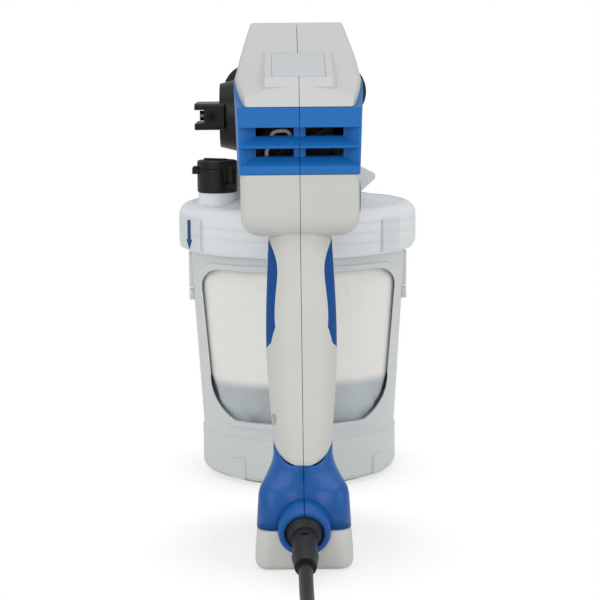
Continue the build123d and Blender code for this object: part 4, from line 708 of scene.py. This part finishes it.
ground_steel = ground_metal("ground_steel", (0.50, 0.50, 0.52), 0.30, (900, 90, 900))
finish_in(ground_steel, "drive_shaft", "swash_plate", "piston_1", "piston_2", "piston_3", "drive_gear",
          "motor_pinion", "trigger_pin", "prime_valve_stem", "tip_seat")
plated_can = ground_metal("plated_can", (0.42, 0.42, 0.40), 0.36, (60, 700, 60))
finish_in(plated_can, "motor_can", "motor_rotor")
spring_wire = ground_metal("spring_wire", (0.34, 0.34, 0.35), 0.34, (200, 1400, 200), scratch=1.0)
finish_in(spring_wire, "piston_springs", "trigger_spring")
magnet_dark = ground_metal("magnet_dark", (0.12, 0.12, 0.125), 0.5, (150, 150, 150), scratch=0.8, mottle=0.15)
finish_in(magnet_dark, "motor_magnets")
screw_zinc = ground_metal("screw_zinc", (0.30, 0.31, 0.33), 0.34, (600, 600, 600), mottle=0.12)
finish_in(screw_zinc, "housing_screws", "knob_screw")
cast_aluminium = ground_metal("cast_aluminium", (0.55, 0.55, 0.56), 0.46, (260, 260, 260), scratch=1.2,
                              mottle=0.08)
finish_in(cast_aluminium, "pump_block", "outlet_manifold")
blade_brass = ground_metal("blade_brass", (0.62, 0.47, 0.20), 0.26, (900, 80, 900))
finish_in(blade_brass, "plug_blades")

# ---------------------------------------------------------------- control board, tubes, wires
# The board is green varnished laminate with copper tracks under the varnish, the tubes are
# polythene, and the wires have grey PVC insulation.
board_green = moulded("board_green", (0.015, 0.11, 0.045), 0.30, grain=1800.0, bump=0.02)
board_tree = board_green.node_tree
tracks = board_tree.nodes.new("ShaderNodeTexBrick")
tracks.inputs["Color1"].default_value = (0.015, 0.11, 0.045, 1)
tracks.inputs["Color2"].default_value = (0.012, 0.09, 0.04, 1)
tracks.inputs["Mortar"].default_value = (0.05, 0.22, 0.08, 1)
tracks.inputs["Scale"].default_value = 260.0
tracks.inputs["Mortar Size"].default_value = 0.03
board_place = next(n for n in board_tree.nodes if n.type == "TEX_COORD")
board_tree.links.new(board_place.outputs["Object"], tracks.inputs["Vector"])
board_tree.links.new(tracks.outputs["Color"], board_tree.nodes["Principled BSDF"].inputs["Base Color"])
finish_in(board_green, "speed_control_board")
tube_film = milky_plastic("tube_polythene", (0.66, 0.68, 0.66), (0.52, 0.54, 0.53))
finish_in(tube_film, "inlet_tube", "return_tube")
wire_grey = moulded("wire_grey", (0.42, 0.42, 0.43), 0.38, grain=1600.0, bump=0.03, cloud=0.1)
finish_in(wire_grey, "wire_leads")

# ---------------------------------------------------------------- power cord, relief and plug
# A short two-core rubber lead, 7 mm across, which leaves the strain relief, comes down to
# the floor and lies in one loose loop behind the foot with its moulded plug inside the loop. The
# relief's root is a flange that fills the mouth of the base's collar.
cord_rubber = moulded("cord_rubber", (0.010, 0.010, 0.011), 0.34, grain=2200.0, bump=0.02, cloud=0.15,
                      gleam=0.4)
relief_rubber = moulded("relief_rubber", (0.008, 0.009, 0.011), 0.46, grain=1000.0, bump=0.06, cloud=0.12,
                        gleam=0.4)
finish_in(relief_rubber, "strain_relief", "plug_body")
root_form = bmesh.new()
relief_ring(root_form, ((0.0050, 0.0060), (0.0096, 0.0060), (0.0096, 0.0150), (0.0092, 0.0157),
                        (0.0082, 0.0163), (0.0074, 0.0200), (0.0050, 0.0200)))
relief_root = add_piece("relief_root", root_form, relief_rubber, "sprayer")
relief_root.data.shade_smooth()

cord_diameter, cord_length = 0.0070, 0.49
relief_length, straight_length, cord_lie = 0.046, 0.070, 0.0036
cord_points = [relief_start + relief_way * relief_length, relief_start + relief_way * straight_length,
               Vector((0.001, -0.301, 0.0038))]
cord_points += [Vector((x, y, cord_lie)) for x, y in (
    (0.003, -0.336), (0.012, -0.378), (0.036, -0.416), (0.082, -0.432), (0.122, -0.408), (0.137, -0.358),
    (0.136, -0.311), (0.110, -0.285), (0.072, -0.285), (0.046, -0.311), (0.046, -0.343))]
cord_curve = bpy.data.curves.new("power_lead", "CURVE")
cord_curve.dimensions = "3D"
cord_line = cord_curve.splines.new("NURBS")
cord_line.points.add(len(cord_points) - 1)
for point, place in zip(cord_line.points, cord_points):
    point.co = (*place, 1)
cord_line.order_u = 3
cord_line.use_endpoint_u = True
cord_line.resolution_u = 16
cord_curve.bevel_depth = cord_diameter / 2
cord_curve.bevel_resolution = 8
cord_curve.use_fill_caps = True
power_lead = bpy.data.objects.new("power_lead", cord_curve)
scene.collection.objects.link(power_lead)
cord_curve.materials.append(cord_rubber)
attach(power_lead, "sprayer")
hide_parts("power_cord")
